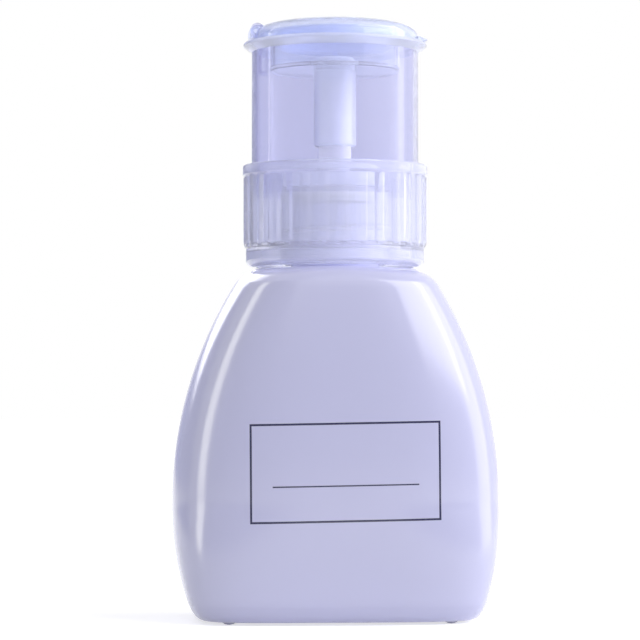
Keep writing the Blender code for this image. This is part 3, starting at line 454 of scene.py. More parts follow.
def bar_mesh(radius, start, end, sides=32):
    bm = bmesh.new()
    start, end = Vector(start), Vector(end)
    turned_to = (end - start).to_track_quat("Z", "Y").to_matrix().to_4x4()
    place = Matrix.Translation((start + end) / 2) @ turned_to
    round_bar = {"cap_ends": True, "segments": sides, "radius1": radius, "radius2": radius}
    bmesh.ops.create_cone(bm, depth=(end - start).length, matrix=place, **round_bar)
    return bm


def plate_mesh(outline, half_width):
    """An outline in the XZ plane, given a thickness along Y."""
    bm = bmesh.new()
    face = bm.faces.new([bm.verts.new((x, -half_width, z)) for x, z in outline])
    moved = bmesh.ops.extrude_face_region(bm, geom=[face])["geom"]
    moved = [v for v in moved if isinstance(v, bmesh.types.BMVert)]
    bmesh.ops.translate(bm, verts=moved, vec=(0, 2 * half_width, 0))
    return bm


def settle(piece):
    """Keeps what a piece's modifiers make of it as its plain mesh."""
    made = bpy.data.meshes.new_from_object(piece.evaluated_get(bpy.context.evaluated_depsgraph_get()))
    piece.modifiers.clear()
    piece.data = made
    smooth(made)


def carve(piece, bm, operation):
    """Cuts a piece with another solid, or joins them."""
    tool = mesh_object("carving_tool", bm, piece.data.materials[0])
    step = piece.modifiers.new("carve", "BOOLEAN")
    step.operation, step.solver, step.object = operation, "EXACT", tool
    settle(piece)
    bpy.data.objects.remove(tool)


# %% [markdown]
# ## Sizes
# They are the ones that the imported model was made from, so every fine piece seats where the plain one did.

# %% Heights and radii
BASE_Z, PLATFORM_Z, LIP_Z = mm(0.7, 85.8, 101.7)
COLLAR_Z, RIM_Z = mm(86.4, 111.5)
FLOOR_TOP, FLOOR_THICK = mm(91.9, 1.5)
DECK_Z, DECK_TOP = mm(104.5, 105.6)
SLEEVE_Z, FLANGE_Z, FLANGE_TOP = mm(103.7, 140.3, 141.7)
LID_Z, LID_TOP = mm(142.0, 147.0)
DISH_Z, SPOUT_TOP = mm(135.8, 138.3)
HINGE_X, HINGE_Z = mm(-19.45, 144.3)
SLEEVE_R, SLEEVE_BORE = mm(20.55, 19.45)
COLLAR_R, COLLAR_BORE, RIM_R, BAND_R = mm(22.15, 21.05, 22.75, 21.95)
SKIRT_R, SKIRT_BORE, DECK_BORE = mm(13.4, 12.15, 8.7)
NECK_R, NECK_BORE = mm(10.8, 9.3)
THREAD_LOW, THREAD_HIGH = LIP_Z - 10 * MM, LIP_Z - 2 * MM
RIDGE_START, PITCH = LIP_Z - 7.2 * MM, 3.18 * MM
for node in ("bottle", "collar", "press_head", "flip_lid", "pump_housing"):
    low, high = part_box(node)
    print(f"{node}: radius {high.y / MM:.2f}, z {low.z / MM:.2f} to {high.z / MM:.2f} mm")

# %% [markdown]
# ## The bottle
# It is one thin blow-moulded skin, from a rounded rectangle at the base to a round platform under the
# collar: a loft of superellipses. At power 2 a ring is an ellipse, and the higher the power, the squarer.

# %% Rings of the bottle
BODY_HALVES, SHOULDER_HALVES, BASE_HALVES = mm(40.0, 24.5), mm(24.8, 22.3), mm(36.3, 23.6)
WIDEST_Z, SHOULDER_Z, CORNER_Z = mm(28.5, 82.1, 4.9)
FLAT_INSET, PLATFORM_R, PLATFORM_STEP = mm(3.4, 20.3, 0.5)
PLATFORM_SLOPE, RECESS_RIM, RECESS_RAMP = mm(0.3, 5.0, 3.0)
RECESS_Z, SKIN = mm(1.9, 1.2)
BODY_POWER, BASE_POWER = 3.0, 4.6
CORNER_PULL, SHOULDER_PULL = (0.6, 0.02), (0.61, 0.17)
RING_SIDES, SIDE_RINGS, CURVE_RINGS, RECESS_RINGS = 192, 56, 14, 4


def arc_drop(rise, widest, end, whole_rise):
    """How far a bowed side has come in at a height above its widest place."""
    drop = widest - end
    radius = (whole_rise**2 + drop**2) / (2 * drop)
    return radius - math.sqrt(radius**2 - rise**2)


def bend(start, pull, end, share):
    """A place on the curve from start to end that is drawn towards pull."""
    return start * (1 - share) ** 2 + pull * (2 * share * (1 - share)) + end * share**2


def pulled(start, end, out_share, up_share):
    point = start.lerp(end, out_share)
    point[0] = start[0] + (end[0] - start[0]) * up_share
    return point


def body_rings(inset):
    """(height, half width, half depth, power) from the flat of the base to the platform's edge."""
    flat = Vector((BASE_Z + inset, *(half - FLAT_INSET for half in BASE_HALVES)))
    side = Vector((CORNER_Z, *BASE_HALVES))
    pull = pulled(flat, side, *CORNER_PULL)
    rings = [(*bend(flat, pull, side, i / CURVE_RINGS), BASE_POWER) for i in range(CURVE_RINGS)]
    for i in range(SIDE_RINGS + 1):
        z = CORNER_Z + (SHOULDER_Z - CORNER_Z) * i / SIDE_RINGS
        rise = z - WIDEST_Z
        below = rise < 0
        ends = BASE_HALVES if below else SHOULDER_HALVES
        whole = WIDEST_Z - CORNER_Z if below else SHOULDER_Z - WIDEST_Z
        halves = (widest - arc_drop(rise, widest, end, whole) for widest, end in zip(BODY_HALVES, ends))
        power = BODY_POWER + (BASE_POWER - BODY_POWER) * max(0, -rise / (WIDEST_Z - CORNER_Z))
        rings.append((z, *halves, power))
    edge = PLATFORM_R + PLATFORM_SLOPE
    shoulder = Vector((SHOULDER_Z, *SHOULDER_HALVES))
    top = Vector((PLATFORM_Z - PLATFORM_STEP - inset, edge, edge))
    pull = pulled(top, shoulder, *SHOULDER_PULL)
    for i in range(1, CURVE_RINGS + 1):
        share = i / CURVE_RINGS
        rings.append((*bend(shoulder, pull, top, share), BODY_POWER + (2 - BODY_POWER) * share))
    return [(z, wide - inset, deep - inset, power) for z, wide, deep, power in rings]


def base_recess(inset):
    """Rings of the shallow recess under the base, from its rim inwards."""
    wide, deep = (half - FLAT_INSET - RECESS_RIM - inset for half in BASE_HALVES)
    rings = []
    for i in range(RECESS_RINGS + 1):
        share = i / RECESS_RINGS
        ease = share * share * (3 - 2 * share)
        z = BASE_Z + (RECESS_Z - BASE_Z) * ease + inset
        rings.append((z, wide - RECESS_RAMP * share, deep - RECESS_RAMP * share, BASE_POWER))
    return rings


def loft(rings, low_z, high_z):
    """A closed skin through rings, shut with a pole at each end."""
    bm = bmesh.new()
    loops = [[bm.verts.new((0, 0, low_z))]]
    for z, wide, deep, power in rings:
        loop = []
        for side in range(RING_SIDES):
            angle = math.tau * side / RING_SIDES
            c, s = math.cos(angle), math.sin(angle)
            reach = (abs(c / wide) ** power + abs(s / deep) ** power) ** (-1 / power)
            loop.append(bm.verts.new((reach * c, reach * s, z)))
        loops.append(loop)
    bridge(bm, [*loops, [bm.verts.new((0, 0, high_z))]], RING_SIDES)
    return bm


# %% Loft the bottle, with its neck
neck_low = PLATFORM_Z - 2.5 * MM
neck = rounded(
    (PLATFORM_R, PLATFORM_Z, 0.3), (NECK_R, PLATFORM_Z, 0.8), (NECK_R, LIP_Z, 0.4), (NECK_BORE, LIP_Z, 0.4),
    (NECK_BORE, neck_low, 1.5), (PLATFORM_R + 1 * MM, neck_low, 0),
)[:-1]
neck = fine_steps(neck, THREAD_LOW, THREAD_HIGH, NECK_R, 0.15 * MM)[:-1]
bottle_rings = base_recess(0)[::-1] + body_rings(0)
bottle_rings += [(z, radius, radius, 2) for radius, z in neck]
bottle_rings += body_rings(SKIN)[::-2] + base_recess(SKIN)
bottle = mesh_object("bottle_body", loft(bottle_rings, RECESS_Z, RECESS_Z + SKIN), milky)
print("bottle_body:", len(bottle_rings), "rings")

# %% [markdown]
# ## Screw ridges, by Geometry Nodes
# The thread on the neck and the one inside the collar's skirt follow one rule: a ridge that climbs a pitch in
# each turn. The tree pushes the points of a round wall out, or in, where they lie on that ridge. The
# collar's grip ribs need the same start and end of a tree, so those are helpers.

# %% Helpers for Geometry Nodes
ON_WALL = 0.05 * MM


def piece_tree(name, *sizes):
    """A tree that takes a piece, its sizes and its material, and gives the piece back."""
    inputs = {"Geometry": "Geometry", **dict.fromkeys(sizes, "Float"), "Material": "Material"}
    return new_group(name, "GeometryNodeTree", inputs, {"Geometry": "Geometry"})


def round_wall(tree, wall_radius):
    """A point's coordinates, whether it is on the upright wall at that radius, and its share of a turn."""
    point = result(tree, "GeometryNodeInputPosition")
    apart = put(tree, "ShaderNodeSeparateXYZ", inputs={0: point}).outputs
    off_wall = calc(tree, "ABSOLUTE", calc(tree, "SUBTRACT", from_axis(tree, apart), wall_radius))
    turned = calc(tree, "DIVIDE", calc(tree, "ARCTAN2", apart["Y"], apart["X"]), math.tau)
    return apart, calc(tree, "LESS_THAN", off_wall, ON_WALL), turned


def push_out(tree, geometry, apart, height, shares):
    """Moves each point away from the axis by its height times each of its shares."""
    for share in shares:
        height = calc(tree, "MULTIPLY", height, share)
    flat = result(tree, "ShaderNodeCombineXYZ", inputs={"X": apart["X"], "Y": apart["Y"]})
    outward = result(tree, "ShaderNodeVectorMath", operation="NORMALIZE", inputs={0: flat})
    push = put(tree, "ShaderNodeVectorMath", operation="SCALE", inputs={0: outward, "Scale": height})
    inputs = {"Geometry": geometry, "Offset": push.outputs[0]}
    return result(tree, "GeometryNodeSetPosition", inputs=inputs)


def raise_up(tree, geometry, height):
    """Lifts what a tree has made by a height."""
    up = result(tree, "ShaderNodeCombineXYZ", inputs={"Z": height})
    return result(tree, "GeometryNodeTransform", inputs={"Geometry": geometry, "Translation": up})


def hand_out(tree, geometry, material):
    """Ends a tree: makes its instances real and sets the material."""
    real = result(tree, "GeometryNodeRealizeInstances", inputs={"Geometry": geometry})
    inputs = {"Geometry": real, "Material": material}
    end_group(tree, Geometry=result(tree, "GeometryNodeSetMaterial", inputs=inputs))


# %% Build the ridge tree
LEAD = 8.0
ridge_tree, given = piece_tree(
    "screw_ridge", "Wall Radius", "Depth", "Pitch", "Start", "Turns", "Root Width", "Crest Width"
)
do = partial(calc, ridge_tree)
apart, on_wall, turned = round_wall(ridge_tree, given["Wall Radius"])
turn_share = do("FRACT", turned)
climb = do("DIVIDE", do("SUBTRACT", apart["Z"], given["Start"]), given["Pitch"])
offset = do("SUBTRACT", climb, turn_share)
whole = do("ROUND", offset)
from_ridge = do("MULTIPLY", do("ABSOLUTE", do("SUBTRACT", offset, whole)), given["Pitch"])
done = do("ADD", whole, turn_share)
lead_in = do("MULTIPLY", done, LEAD, clamp=True)
lead_out = do("MULTIPLY", do("SUBTRACT", given["Turns"], done), LEAD, clamp=True)
flank = do("MULTIPLY", do("SUBTRACT", given["Root Width"], given["Crest Width"]), 0.5)
inside = do("SUBTRACT", do("MULTIPLY", given["Root Width"], 0.5), from_ridge)
profile = do("DIVIDE", inside, flank, clamp=True)
shares = (lead_in, lead_out, on_wall, given["Depth"])
ridged = push_out(ridge_tree, given["Geometry"], apart, profile, shares)
hand_out(ridge_tree, ridged, given["Material"])

# %% Run the tree on the bottle's neck


def grow(piece, tree, **sizes):
    """Runs a Geometry Nodes tree on a piece."""
    step = piece.modifiers.new(tree.name, "NODES")
    step.node_group = tree
    sockets = {item.name: item.identifier for item in tree.interface.items_tree if item.in_out == "INPUT"}
    for name, value in {**sizes, "Material": piece.data.materials[0]}.items():
        step[sockets[name.replace("_", " ")]] = value
    piece.update_tag()
    bpy.context.view_layer.update()
    settle(piece)


RIDGE_DEPTH = 1.05 * MM
THREAD = {"Pitch": PITCH, "Turns": 1.5, "Root_Width": 1.2 * MM, "Crest_Width": 0.6 * MM}
grow(bottle, ridge_tree, Wall_Radius=NECK_R, Depth=RIDGE_DEPTH, Start=RIDGE_START, **THREAD)
wear(bottle, "bottle", "milky_plastic", "bottle")

# %% [markdown]
# ## The feet
# Four nubs keep the base off the table. They are one shape at four places, so a small tree puts a flattened
# ball at each corner of a grid.

# %% Set the feet
feet_tree, given = piece_tree("corner_feet", "Spacing X", "Spacing Y", "Radius", "Height")
corners = {"Size X": given["Spacing X"], "Size Y": given["Spacing Y"], "Vertices X": 2, "Vertices Y": 2}
grid = result(feet_tree, "GeometryNodeMeshGrid", inputs=corners)
unit_ball = {"Segments": 32, "Rings": 16, "Radius": 1.0}
ball = result(feet_tree, "GeometryNodeMeshUVSphere", inputs=unit_ball)
sizes = {"X": given["Radius"], "Y": given["Radius"], "Z": given["Height"]}
flattened = result(feet_tree, "ShaderNodeCombineXYZ", inputs=sizes)
foot = result(feet_tree, "GeometryNodeTransform", inputs={"Geometry": ball, "Scale": flattened})
placed = result(feet_tree, "GeometryNodeInstanceOnPoints", inputs={"Points": grid, "Instance": foot})
hand_out(feet_tree, raise_up(feet_tree, placed, given["Height"]), given["Material"])
feet = mesh_object("base_feet", bmesh.new(), milky)
grow(feet, feet_tree, Spacing_X=53.6 * MM, Spacing_Y=30.0 * MM, Radius=1.9 * MM, Height=1.1 * MM)
wear(feet, "bottle", "milky_plastic")

# %% [markdown]
# ## The collar
# The collar is two skirts in one: an outer one with grip ribs, and an inner one that screws onto the neck.
# They meet in a low floor, and the inner one ends in a deck that clamps the pump. The ribs are grown by a
# tree too: it raises the outer wall in thirty rounded bars, from a height upwards.

# %% Build the rib tree
RIB_ROUNDNESS = 2.5
rib_tree, given = piece_tree("grip_ribs", "Wall Radius", "Count", "Height", "Width Share", "Bottom", "Fade")
do = partial(calc, rib_tree)
apart, on_wall, turned = round_wall(rib_tree, given["Wall Radius"])
place = do("FRACT", do("MULTIPLY", turned, given["Count"]))
from_middle = do("ABSOLUTE", do("SUBTRACT", place, 0.5))
inward = do("DIVIDE", do("MULTIPLY", from_middle, 2.0), given["Width Share"])
crown = do("SQRT", do("SUBTRACT", 1.0, do("POWER", inward, RIB_ROUNDNESS), clamp=True))
rise = do("DIVIDE", do("SUBTRACT", apart["Z"], given["Bottom"]), given["Fade"], clamp=True)
ribbed = push_out(rib_tree, given["Geometry"], apart, crown, (rise, on_wall, given["Height"]))
hand_out(rib_tree, ribbed, given["Material"])

# %% Turn the collar and grow its ribs and thread
RIB_COUNT, SIDES_PER_RIB = 30, 10
RIB_BOTTOM, RIB_TOP = mm(90.9, 108.5)
SKIRT_LOW, FLOOR_LOW = COLLAR_Z + 0.6 * MM, FLOOR_TOP - FLOOR_THICK
GROOVE_R, GROOVE_Z, BAND_BORE = COLLAR_BORE - 0.2 * MM, COLLAR_Z + 1.1 * MM, BAND_R - 2.6 * MM
collar_outline = rounded(
    (COLLAR_BORE, RIM_Z, 0.3), (COLLAR_BORE, FLOOR_TOP, 0.5), (SKIRT_R, FLOOR_TOP, 0.5),
    (SKIRT_R, DECK_TOP, 0.5), (DECK_BORE, DECK_TOP, 0.15), (DECK_BORE, DECK_Z, 0.15),
    (SKIRT_BORE, DECK_Z, 0.15), (SKIRT_BORE, SKIRT_LOW, 0.3), (SKIRT_R, SKIRT_LOW, 0.3),
    (SKIRT_R, FLOOR_LOW, 0.4), (GROOVE_R, FLOOR_LOW, 0.5), (GROOVE_R, GROOVE_Z, 0.7),
    (BAND_BORE, GROOVE_Z, 0.3), (BAND_BORE, COLLAR_Z, 0.3), (BAND_R, COLLAR_Z, 1.8),
    (BAND_R, RIB_BOTTOM, 0.1), (COLLAR_R, RIB_BOTTOM + 0.3 * MM, 0.1), (COLLAR_R, RIB_TOP, 0.2),
    (RIM_R, RIB_TOP + 0.6 * MM, 0.3), (RIM_R, RIM_Z, 0.5),
)
collar_outline = fine_steps(collar_outline, THREAD_LOW, THREAD_HIGH, SKIRT_BORE, 0.2 * MM)
collar_outline = fine_steps(collar_outline, RIB_BOTTOM + 2 * MM, RIB_TOP - 2 * MM, COLLAR_R, 0.5 * MM)
collar = turn("screw_collar", collar_outline, frosted, sides=RIB_COUNT * SIDES_PER_RIB)
mesh_start = RIDGE_START - PITCH / 2
grow(collar, ridge_tree, Wall_Radius=SKIRT_BORE, Depth=-RIDGE_DEPTH, Start=mesh_start, **THREAD)
ribs = {"Count": float(RIB_COUNT), "Height": 0.42 * MM, "Width_Share": 0.55, "Fade": 1.2 * MM}
grow(collar, rib_tree, Wall_Radius=COLLAR_R, Bottom=RIB_BOTTOM + 0.3 * MM, **ribs)
wear(collar, "collar", "clear_plastic", "collar")

# %% [markdown]
# ## The press head
# One moulding on the real pump. Its flange and its middle look hazier than its sleeve, so it is three pieces
# here, each sunk a little into the next: the sleeve with the dish, the flange that a finger presses, and the
# boss, which is the outlet over a socket for the stem. A slot takes the hinge's snap hook.

# %% Turn the press cap
BOSS_R, DISH_R, DISH_OUT_R, SUNK = mm(5.15, 14.9, 16.0, 0.3)
DISH_LOW = DISH_Z - 1.1 * MM
head_outline = rounded(
    (BOSS_R - SUNK, DISH_LOW, 0), (DISH_OUT_R, DISH_LOW, 0.25), (DISH_OUT_R, FLANGE_Z, 0.2),
    (SLEEVE_BORE, FLANGE_Z, 0.4), (SLEEVE_BORE, SLEEVE_Z, 0.2), (SLEEVE_R, SLEEVE_Z, 0.2),
    (SLEEVE_R, FLANGE_TOP, 0.1), (DISH_R, FLANGE_TOP, 0.3), (DISH_R, DISH_Z, 0.25),
    (BOSS_R - SUNK, DISH_Z, 0),
)
head = turn("press_cap", head_outline, clear, sides=160)
HOOK_OUT, HOOK_PRONG, HOOK_SLOT = mm(-18.85, 0.7, 0.9)
HOOK_IN = HOOK_OUT + HOOK_PRONG + HOOK_SLOT
HOOK_HALF, HOOK_LOW = 2.6 * MM, FLANGE_Z - 6.4 * MM
SLOT_GAP, BARB, BEYOND = mm(0.3, 0.45, 2)
slot_low = (HOOK_OUT - SLOT_GAP, -HOOK_HALF - SLOT_GAP, FLANGE_Z - BEYOND)
slot_high = (HOOK_IN + HOOK_PRONG - BARB, HOOK_HALF + SLOT_GAP, FLANGE_TOP + BEYOND)
carve(head, box_mesh(slot_low, slot_high), "DIFFERENCE")
wear(head, "head", "clear_plastic", "press_head")

# %% Turn the flange that a finger presses
FLANGE_R, FLANGE_LOW = SLEEVE_R + 2.05 * MM, FLANGE_Z - 0.9 * MM
flange_outline = rounded(
    (SLEEVE_R - SUNK, FLANGE_LOW, 0), (SLEEVE_R, FLANGE_LOW, 0.1), (FLANGE_R, FLANGE_TOP - 0.8 * MM, 0.25),
    (FLANGE_R, FLANGE_TOP, 0.5), (SLEEVE_R - SUNK, FLANGE_TOP, 0),
)
flange = turn("finger_flange", flange_outline, rim_clear, sides=160)
wear(flange, "head", "clear_plastic")

# %% Turn the boss: the outlet above the dish, the stem's socket below it
SOCKET_Z, SOCKET_BORE, SOCKET_R, SOCKET_TOP = mm(116.3, 4.3, 5.28, 132.58)
OUTLET_R, CHAMBER_R, CHAMBER_TOP = mm(0.8, 4.0, 136.5)
boss_outline = rounded(
    (OUTLET_R, CHAMBER_TOP, 0), (CHAMBER_R, CHAMBER_TOP, 0.3), (CHAMBER_R, SOCKET_TOP, 0),
    (SOCKET_BORE, SOCKET_TOP, 0), (SOCKET_BORE, SOCKET_Z, 0.1), (SOCKET_R - 0.5 * MM, SOCKET_Z, 0.1),
    (SOCKET_R, SOCKET_Z + 0.5 * MM, 0.1), (SOCKET_R, DISH_LOW, 0.1), (BOSS_R, DISH_LOW, 0.05),
    (BOSS_R, SPOUT_TOP, 0.9), (OUTLET_R, SPOUT_TOP, 0.25),
)
boss = turn("outlet_boss", boss_outline, hazy)
wear(boss, "head", "clear_plastic")

# %% [markdown]
# ## The hinge bracket
# Two ears on a thin plate hold the lid's pins, and a springy U of the same moulding snaps through the slot
# and under the flange. Each is a flat outline given a thickness, joined to the plate.

# %% Make the bracket
PLATE, PLATE_EDGE = mm(0.5, 0.2)
EAR_R, EAR_THICK, KNUCKLE_HALF, EAR_STEPS = 1.8 * MM, 1.4 * MM, 3.0 * MM, 20
EAR_IN = KNUCKLE_HALF + 0.3 * MM
EAR_OUT = EAR_IN + EAR_THICK
PIN_HOLE_R, PIN_HOLE_HALF = mm(1.05, 8)
plate_low = (HINGE_X - EAR_R - PLATE_EDGE, -EAR_OUT - PLATE_EDGE, LID_Z)
plate_high = (HOOK_IN + HOOK_PRONG + PLATE_EDGE, EAR_OUT + PLATE_EDGE, LID_Z + PLATE)
bracket = mesh_object("hinge_clip", box_mesh(plate_low, plate_high), clear)
plate_middle, catch_z = LID_Z + PLATE / 2, FLANGE_Z - 0.3 * MM
hook = [
    (HOOK_OUT, plate_middle), (HOOK_OUT, HOOK_LOW), (HOOK_IN + HOOK_PRONG, HOOK_LOW),
    (HOOK_IN + HOOK_PRONG, catch_z), (HOOK_IN, catch_z), (HOOK_IN, HOOK_LOW + HOOK_PRONG),
    (HOOK_OUT + HOOK_PRONG, HOOK_LOW + HOOK_PRONG), (HOOK_OUT + HOOK_PRONG, plate_middle),
]
carve(bracket, plate_mesh(hook, HOOK_HALF), "UNION")
arc = [math.pi * (1 - i / EAR_STEPS) for i in range(EAR_STEPS + 1)]
ear = [(HINGE_X + EAR_R * math.cos(a), HINGE_Z + EAR_R * math.sin(a)) for a in arc]
ear = [(HINGE_X - EAR_R, plate_middle), *ear, (HINGE_X + EAR_R, plate_middle)]
for side in (-1, 1):
    ear_solid = plate_mesh(ear, EAR_THICK / 2)
    bmesh.ops.translate(ear_solid, verts=ear_solid.verts, vec=(0, side * (EAR_IN + EAR_OUT) / 2, 0))
    carve(bracket, ear_solid, "UNION")
pin_ends = ((HINGE_X, side * PIN_HOLE_HALF, HINGE_Z) for side in (-1, 1))
carve(bracket, bar_mesh(PIN_HOLE_R, *pin_ends), "DIFFERENCE")
wear(bracket, "head", "clear_plastic", "hinge_bracket")

# %% [markdown]
# ## The flip lid
# A shallow dome over the dish, with a ring that plugs into it and a pin that shuts the outlet. It is notched
# for the hinge's ears, and opposite them it ends in a thumb tab that slopes out over the flange.

# %% Turn the lid
LID_R, LID_WALL, LID_POWER, DOME_STEPS = 20.5 * MM, 1.2 * MM, 3.5, 28
PIN_R, PLUG_R, PLUG_WALL, PLUG_Z = mm(1.3, 14.65, 1.0, 140.4)
PLUG_BORE, ROOT_GAP = PLUG_R - PLUG_WALL, 0.2 * MM


def dome(radius, rise):
    """The lid's section from its rim to its crown, as (radius, height)."""
    points = []
    for i in range(DOME_STEPS + 1):
        angle = math.pi / 2 * (1 - i / DOME_STEPS)
        across = radius * math.sin(angle) ** (2 / LID_POWER)
        up = rise * max(0, math.cos(angle)) ** (2 / LID_POWER)
        points.append(Vector((across, LID_Z + (up if i else 0))))
    return points


ceiling, pin_z = LID_TOP - LID_WALL, SPOUT_TOP + 0.3 * MM
within = dome(LID_R - LID_WALL, ceiling - LID_Z)[::-1]
under_in = [p for p in within if PIN_R + ROOT_GAP < p[0] < PLUG_BORE - ROOT_GAP]
under_out = [p for p in within if p[0] > PLUG_R + ROOT_GAP]
root_z = under_out[0][1]
plug = rounded(
    (PLUG_BORE, root_z, 0.2), (PLUG_BORE, PLUG_Z, 0.25), (PLUG_R, PLUG_Z, 0.25), (PLUG_R, root_z, 0.2),
)
crown_and_pin = [(0, LID_TOP), (0, pin_z), (PIN_R / 2, pin_z), (PIN_R, ceiling)]
lid_outline = dome(LID_R, LID_TOP - LID_Z)[:-1] + [Vector(point) for point in crown_and_pin]
lid = turn("flip_cover", lid_outline + under_in + plug + under_out, lid_clear, sides=160)

# %% Notch the lid and add its arm, knuckle, pins and tab
notch_half, notch_x = EAR_OUT + 0.5 * MM, HINGE_X + 3.1 * MM
notch_low = (-24 * MM, -notch_half, LID_Z - BEYOND)
carve(lid, box_mesh(notch_low, (notch_x, notch_half, LID_TOP + BEYOND)), "DIFFERENCE")
TAB_ROOT, TAB_X, TAB_LOW, TAB_HALF = 19.58 * MM, 22.3 * MM, LID_Z + 0.1 * MM, 5 * MM
tab_top = LID_Z + 1.2 * MM
tab = [(TAB_ROOT, TAB_LOW), (TAB_X, TAB_LOW), (TAB_X, TAB_LOW + 0.3 * MM)]
tab += [(LID_R, tab_top), (TAB_ROOT, tab_top)]
carve(lid, plate_mesh(tab, TAB_HALF), "UNION")
arm_top, arm_half, arm_thick = HINGE_Z + 1.4 * MM, KNUCKLE_HALF - 0.1 * MM, 1.5 * MM
arm_low = (HINGE_X, -arm_half, arm_top - arm_thick)
carve(lid, box_mesh(arm_low, (notch_x + LID_WALL, arm_half, arm_top)), "UNION")
KNUCKLE_R, TRUNNION_R, TRUNNION_HALF = 1.5 * MM, 0.8 * MM, KNUCKLE_HALF + 1.7 * MM
for radius, half in ((KNUCKLE_R, KNUCKLE_HALF), (TRUNNION_R, TRUNNION_HALF)):
    carve(lid, bar_mesh(radius, (HINGE_X, -half, HINGE_Z), (HINGE_X, half, HINGE_Z)), "UNION")
wear(lid, "lid", "clear_plastic", "flip_lid")

# %% [markdown]
# ## The pump
# Under the head stand the domed guide cap, the hollow stem with its four beads, and the pump itself. All are
# turned, and plain rings need only four sizes.

# %% Turn the guide cap
guide_outline = in_mm(
    (5.65, 111.5, 0.2), (5.65, 104.8, 0.1), (4.3, 104.8, 0.1), (4.3, 96.9, 0.1),
    (6.9, 96.9, 0.2), (6.9, 109.8, 0.3), (10.1, 109.8, 0.5), (11.2, 105.9, 0.1),
    (12.3, 105.9, 0.2), (11.2, 111.5, 1.6),
)
guide = turn("guide_dome", rounded(*guide_outline), dome_clear)
wear(guide, "pump", "clear_plastic", "guide_cap")

# %% Turn the stem with its beads
STEM_R, STEM_BORE, SHANK_R, STEM_EDGE = mm(4.0, 2.0, 3.2, 0.9)
STEM_LOW, SHANK_TOP, STEM_TOP = mm(89.8, 96.9, 132.28)
BEAD_HALF, BEAD_R, BEAD_SHARES = 0.5 * MM, STEM_R + 0.24 * MM, (0.08, 0.36, 0.58, 0.88)
stem_corners = [(STEM_BORE, STEM_LOW, 0), (SHANK_R, STEM_LOW, 0.1)]
stem_corners += [(SHANK_R, SHANK_TOP, 0.1), (STEM_R, SHANK_TOP, 0.2)]
for share in BEAD_SHARES:
    z = SOCKET_Z + (SOCKET_TOP - SOCKET_Z) * share
    stem_corners += [(STEM_R, z - BEAD_HALF, 0), (BEAD_R, z, 0.3), (STEM_R, z + BEAD_HALF, 0)]
stem_corners += [
    (STEM_R, STEM_TOP, 0.15),
    (STEM_BORE + STEM_EDGE, STEM_TOP, 0),
    (STEM_BORE, STEM_TOP - STEM_EDGE, 0),
]
stem = turn("hollow_stem", rounded(*stem_corners), cloudy, sides=64)
wear(stem, "head", "cloudy_plastic", "stem")

# %% Turn the pump's hidden pieces
housing = in_mm(
    (1.5, 65.0, 0), (2.6, 65.0, 0), (2.6, 57.2, 0.1), (4.0, 57.2, 0.3), (4.0, 64.1, 0.5),
    (8.2, 69.9, 1.0), (8.2, 103.1, 0.2), (11.8, 103.1, 0.2), (11.8, 104.2, 0.2),
    (8.2, 104.2, 0.1), (8.2, 109.4, 0.2), (7.2, 109.4, 0.2), (7.2, 96.3, 0), (6.6, 96.3, 0.2),
    (6.6, 71.2, 0.2), (2.9, 71.2, 0.2), (2.9, 66.8, 0.2), (1.5, 65.4, 0.1),
)
barrel = turn("pump_barrel", rounded(*housing), cloudy)
wear(barrel, "pump", "cloudy_plastic", "pump_housing")
for name, inner, outer, low, high, edge, material, slot, node in (
    ("lip_gasket", 9.5, 11.85, 102.0, 102.8, 0.15, rubber, "seal_rubber", "neck_gasket"),
    ("wiper_ring", 4.3, 5.35, 105.1, 106.6, 0.25, rubber, "seal_rubber", "stem_wiper"),
    ("cage_ring", 1.8, 6.3, 71.5, 72.6, 0.2, cloudy, "cloudy_plastic", "ball_cage"),
    ("dip_pipe", 1.7, 2.5, 5.6, 64.7, 0.2, cloudy, "cloudy_plastic", "dip_tube"),
):
    section = in_mm((inner, low, edge), (outer, low, edge), (outer, high, edge), (inner, high, edge))
    wear(turn(name, rounded(*section), material), "pump", slot, node)
seal = in_mm(
    (3.5, 93.3, 0.2), (5.1, 91.9, 0.1), (6.3, 91.9, 0.1), (6.3, 92.6, 0.2), (6.0, 93.3, 0.3),
    (6.0, 95.2, 0.3), (6.3, 95.9, 0.2), (6.3, 96.6, 0.1), (3.5, 96.6, 0.2),
)
wear(turn("sliding_seal", rounded(*seal), soft), "piston", "soft_plastic", "piston_seal")
seat = in_mm(
    (2.0, 88.6, 0.1), (5.4, 88.6, 0.3), (5.4, 89.5, 0.2), (4.7, 91.6, 0.2), (3.5, 91.6, 0.1),
    (3.5, 89.5, 0), (2.0, 89.5, 0.1),
)
wear(turn("seal_foot", rounded(*seat), cloudy), "head", "cloudy_plastic", "piston_seat")

# %% [markdown]
# ## The valves and the spring
# Two balls on their seats are the pump's valves. The spring is a wire wound at a steady pitch: a tree sweeps
# a round wire along a spiral. When the head is pressed it has to shorten.

# %% Balls
for name, node, radius, material, body, slot in (
    ("lower_ball", "inlet_ball", 2.3 * MM, steel, "inlet_valve", "spring_steel"),
    ("upper_ball", "outlet_ball", 2.5 * MM, bead, "outlet_valve", "valve_glass"),
):
    low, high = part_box(node)
    middle = Matrix.Translation((0, 0, (low.z + high.z) / 2))
    bm = bmesh.new()
    bmesh.ops.create_icosphere(bm, subdivisions=5, radius=radius, matrix=middle)
    wear(mesh_object(name, bm, material, angle=180), body, slot, node)

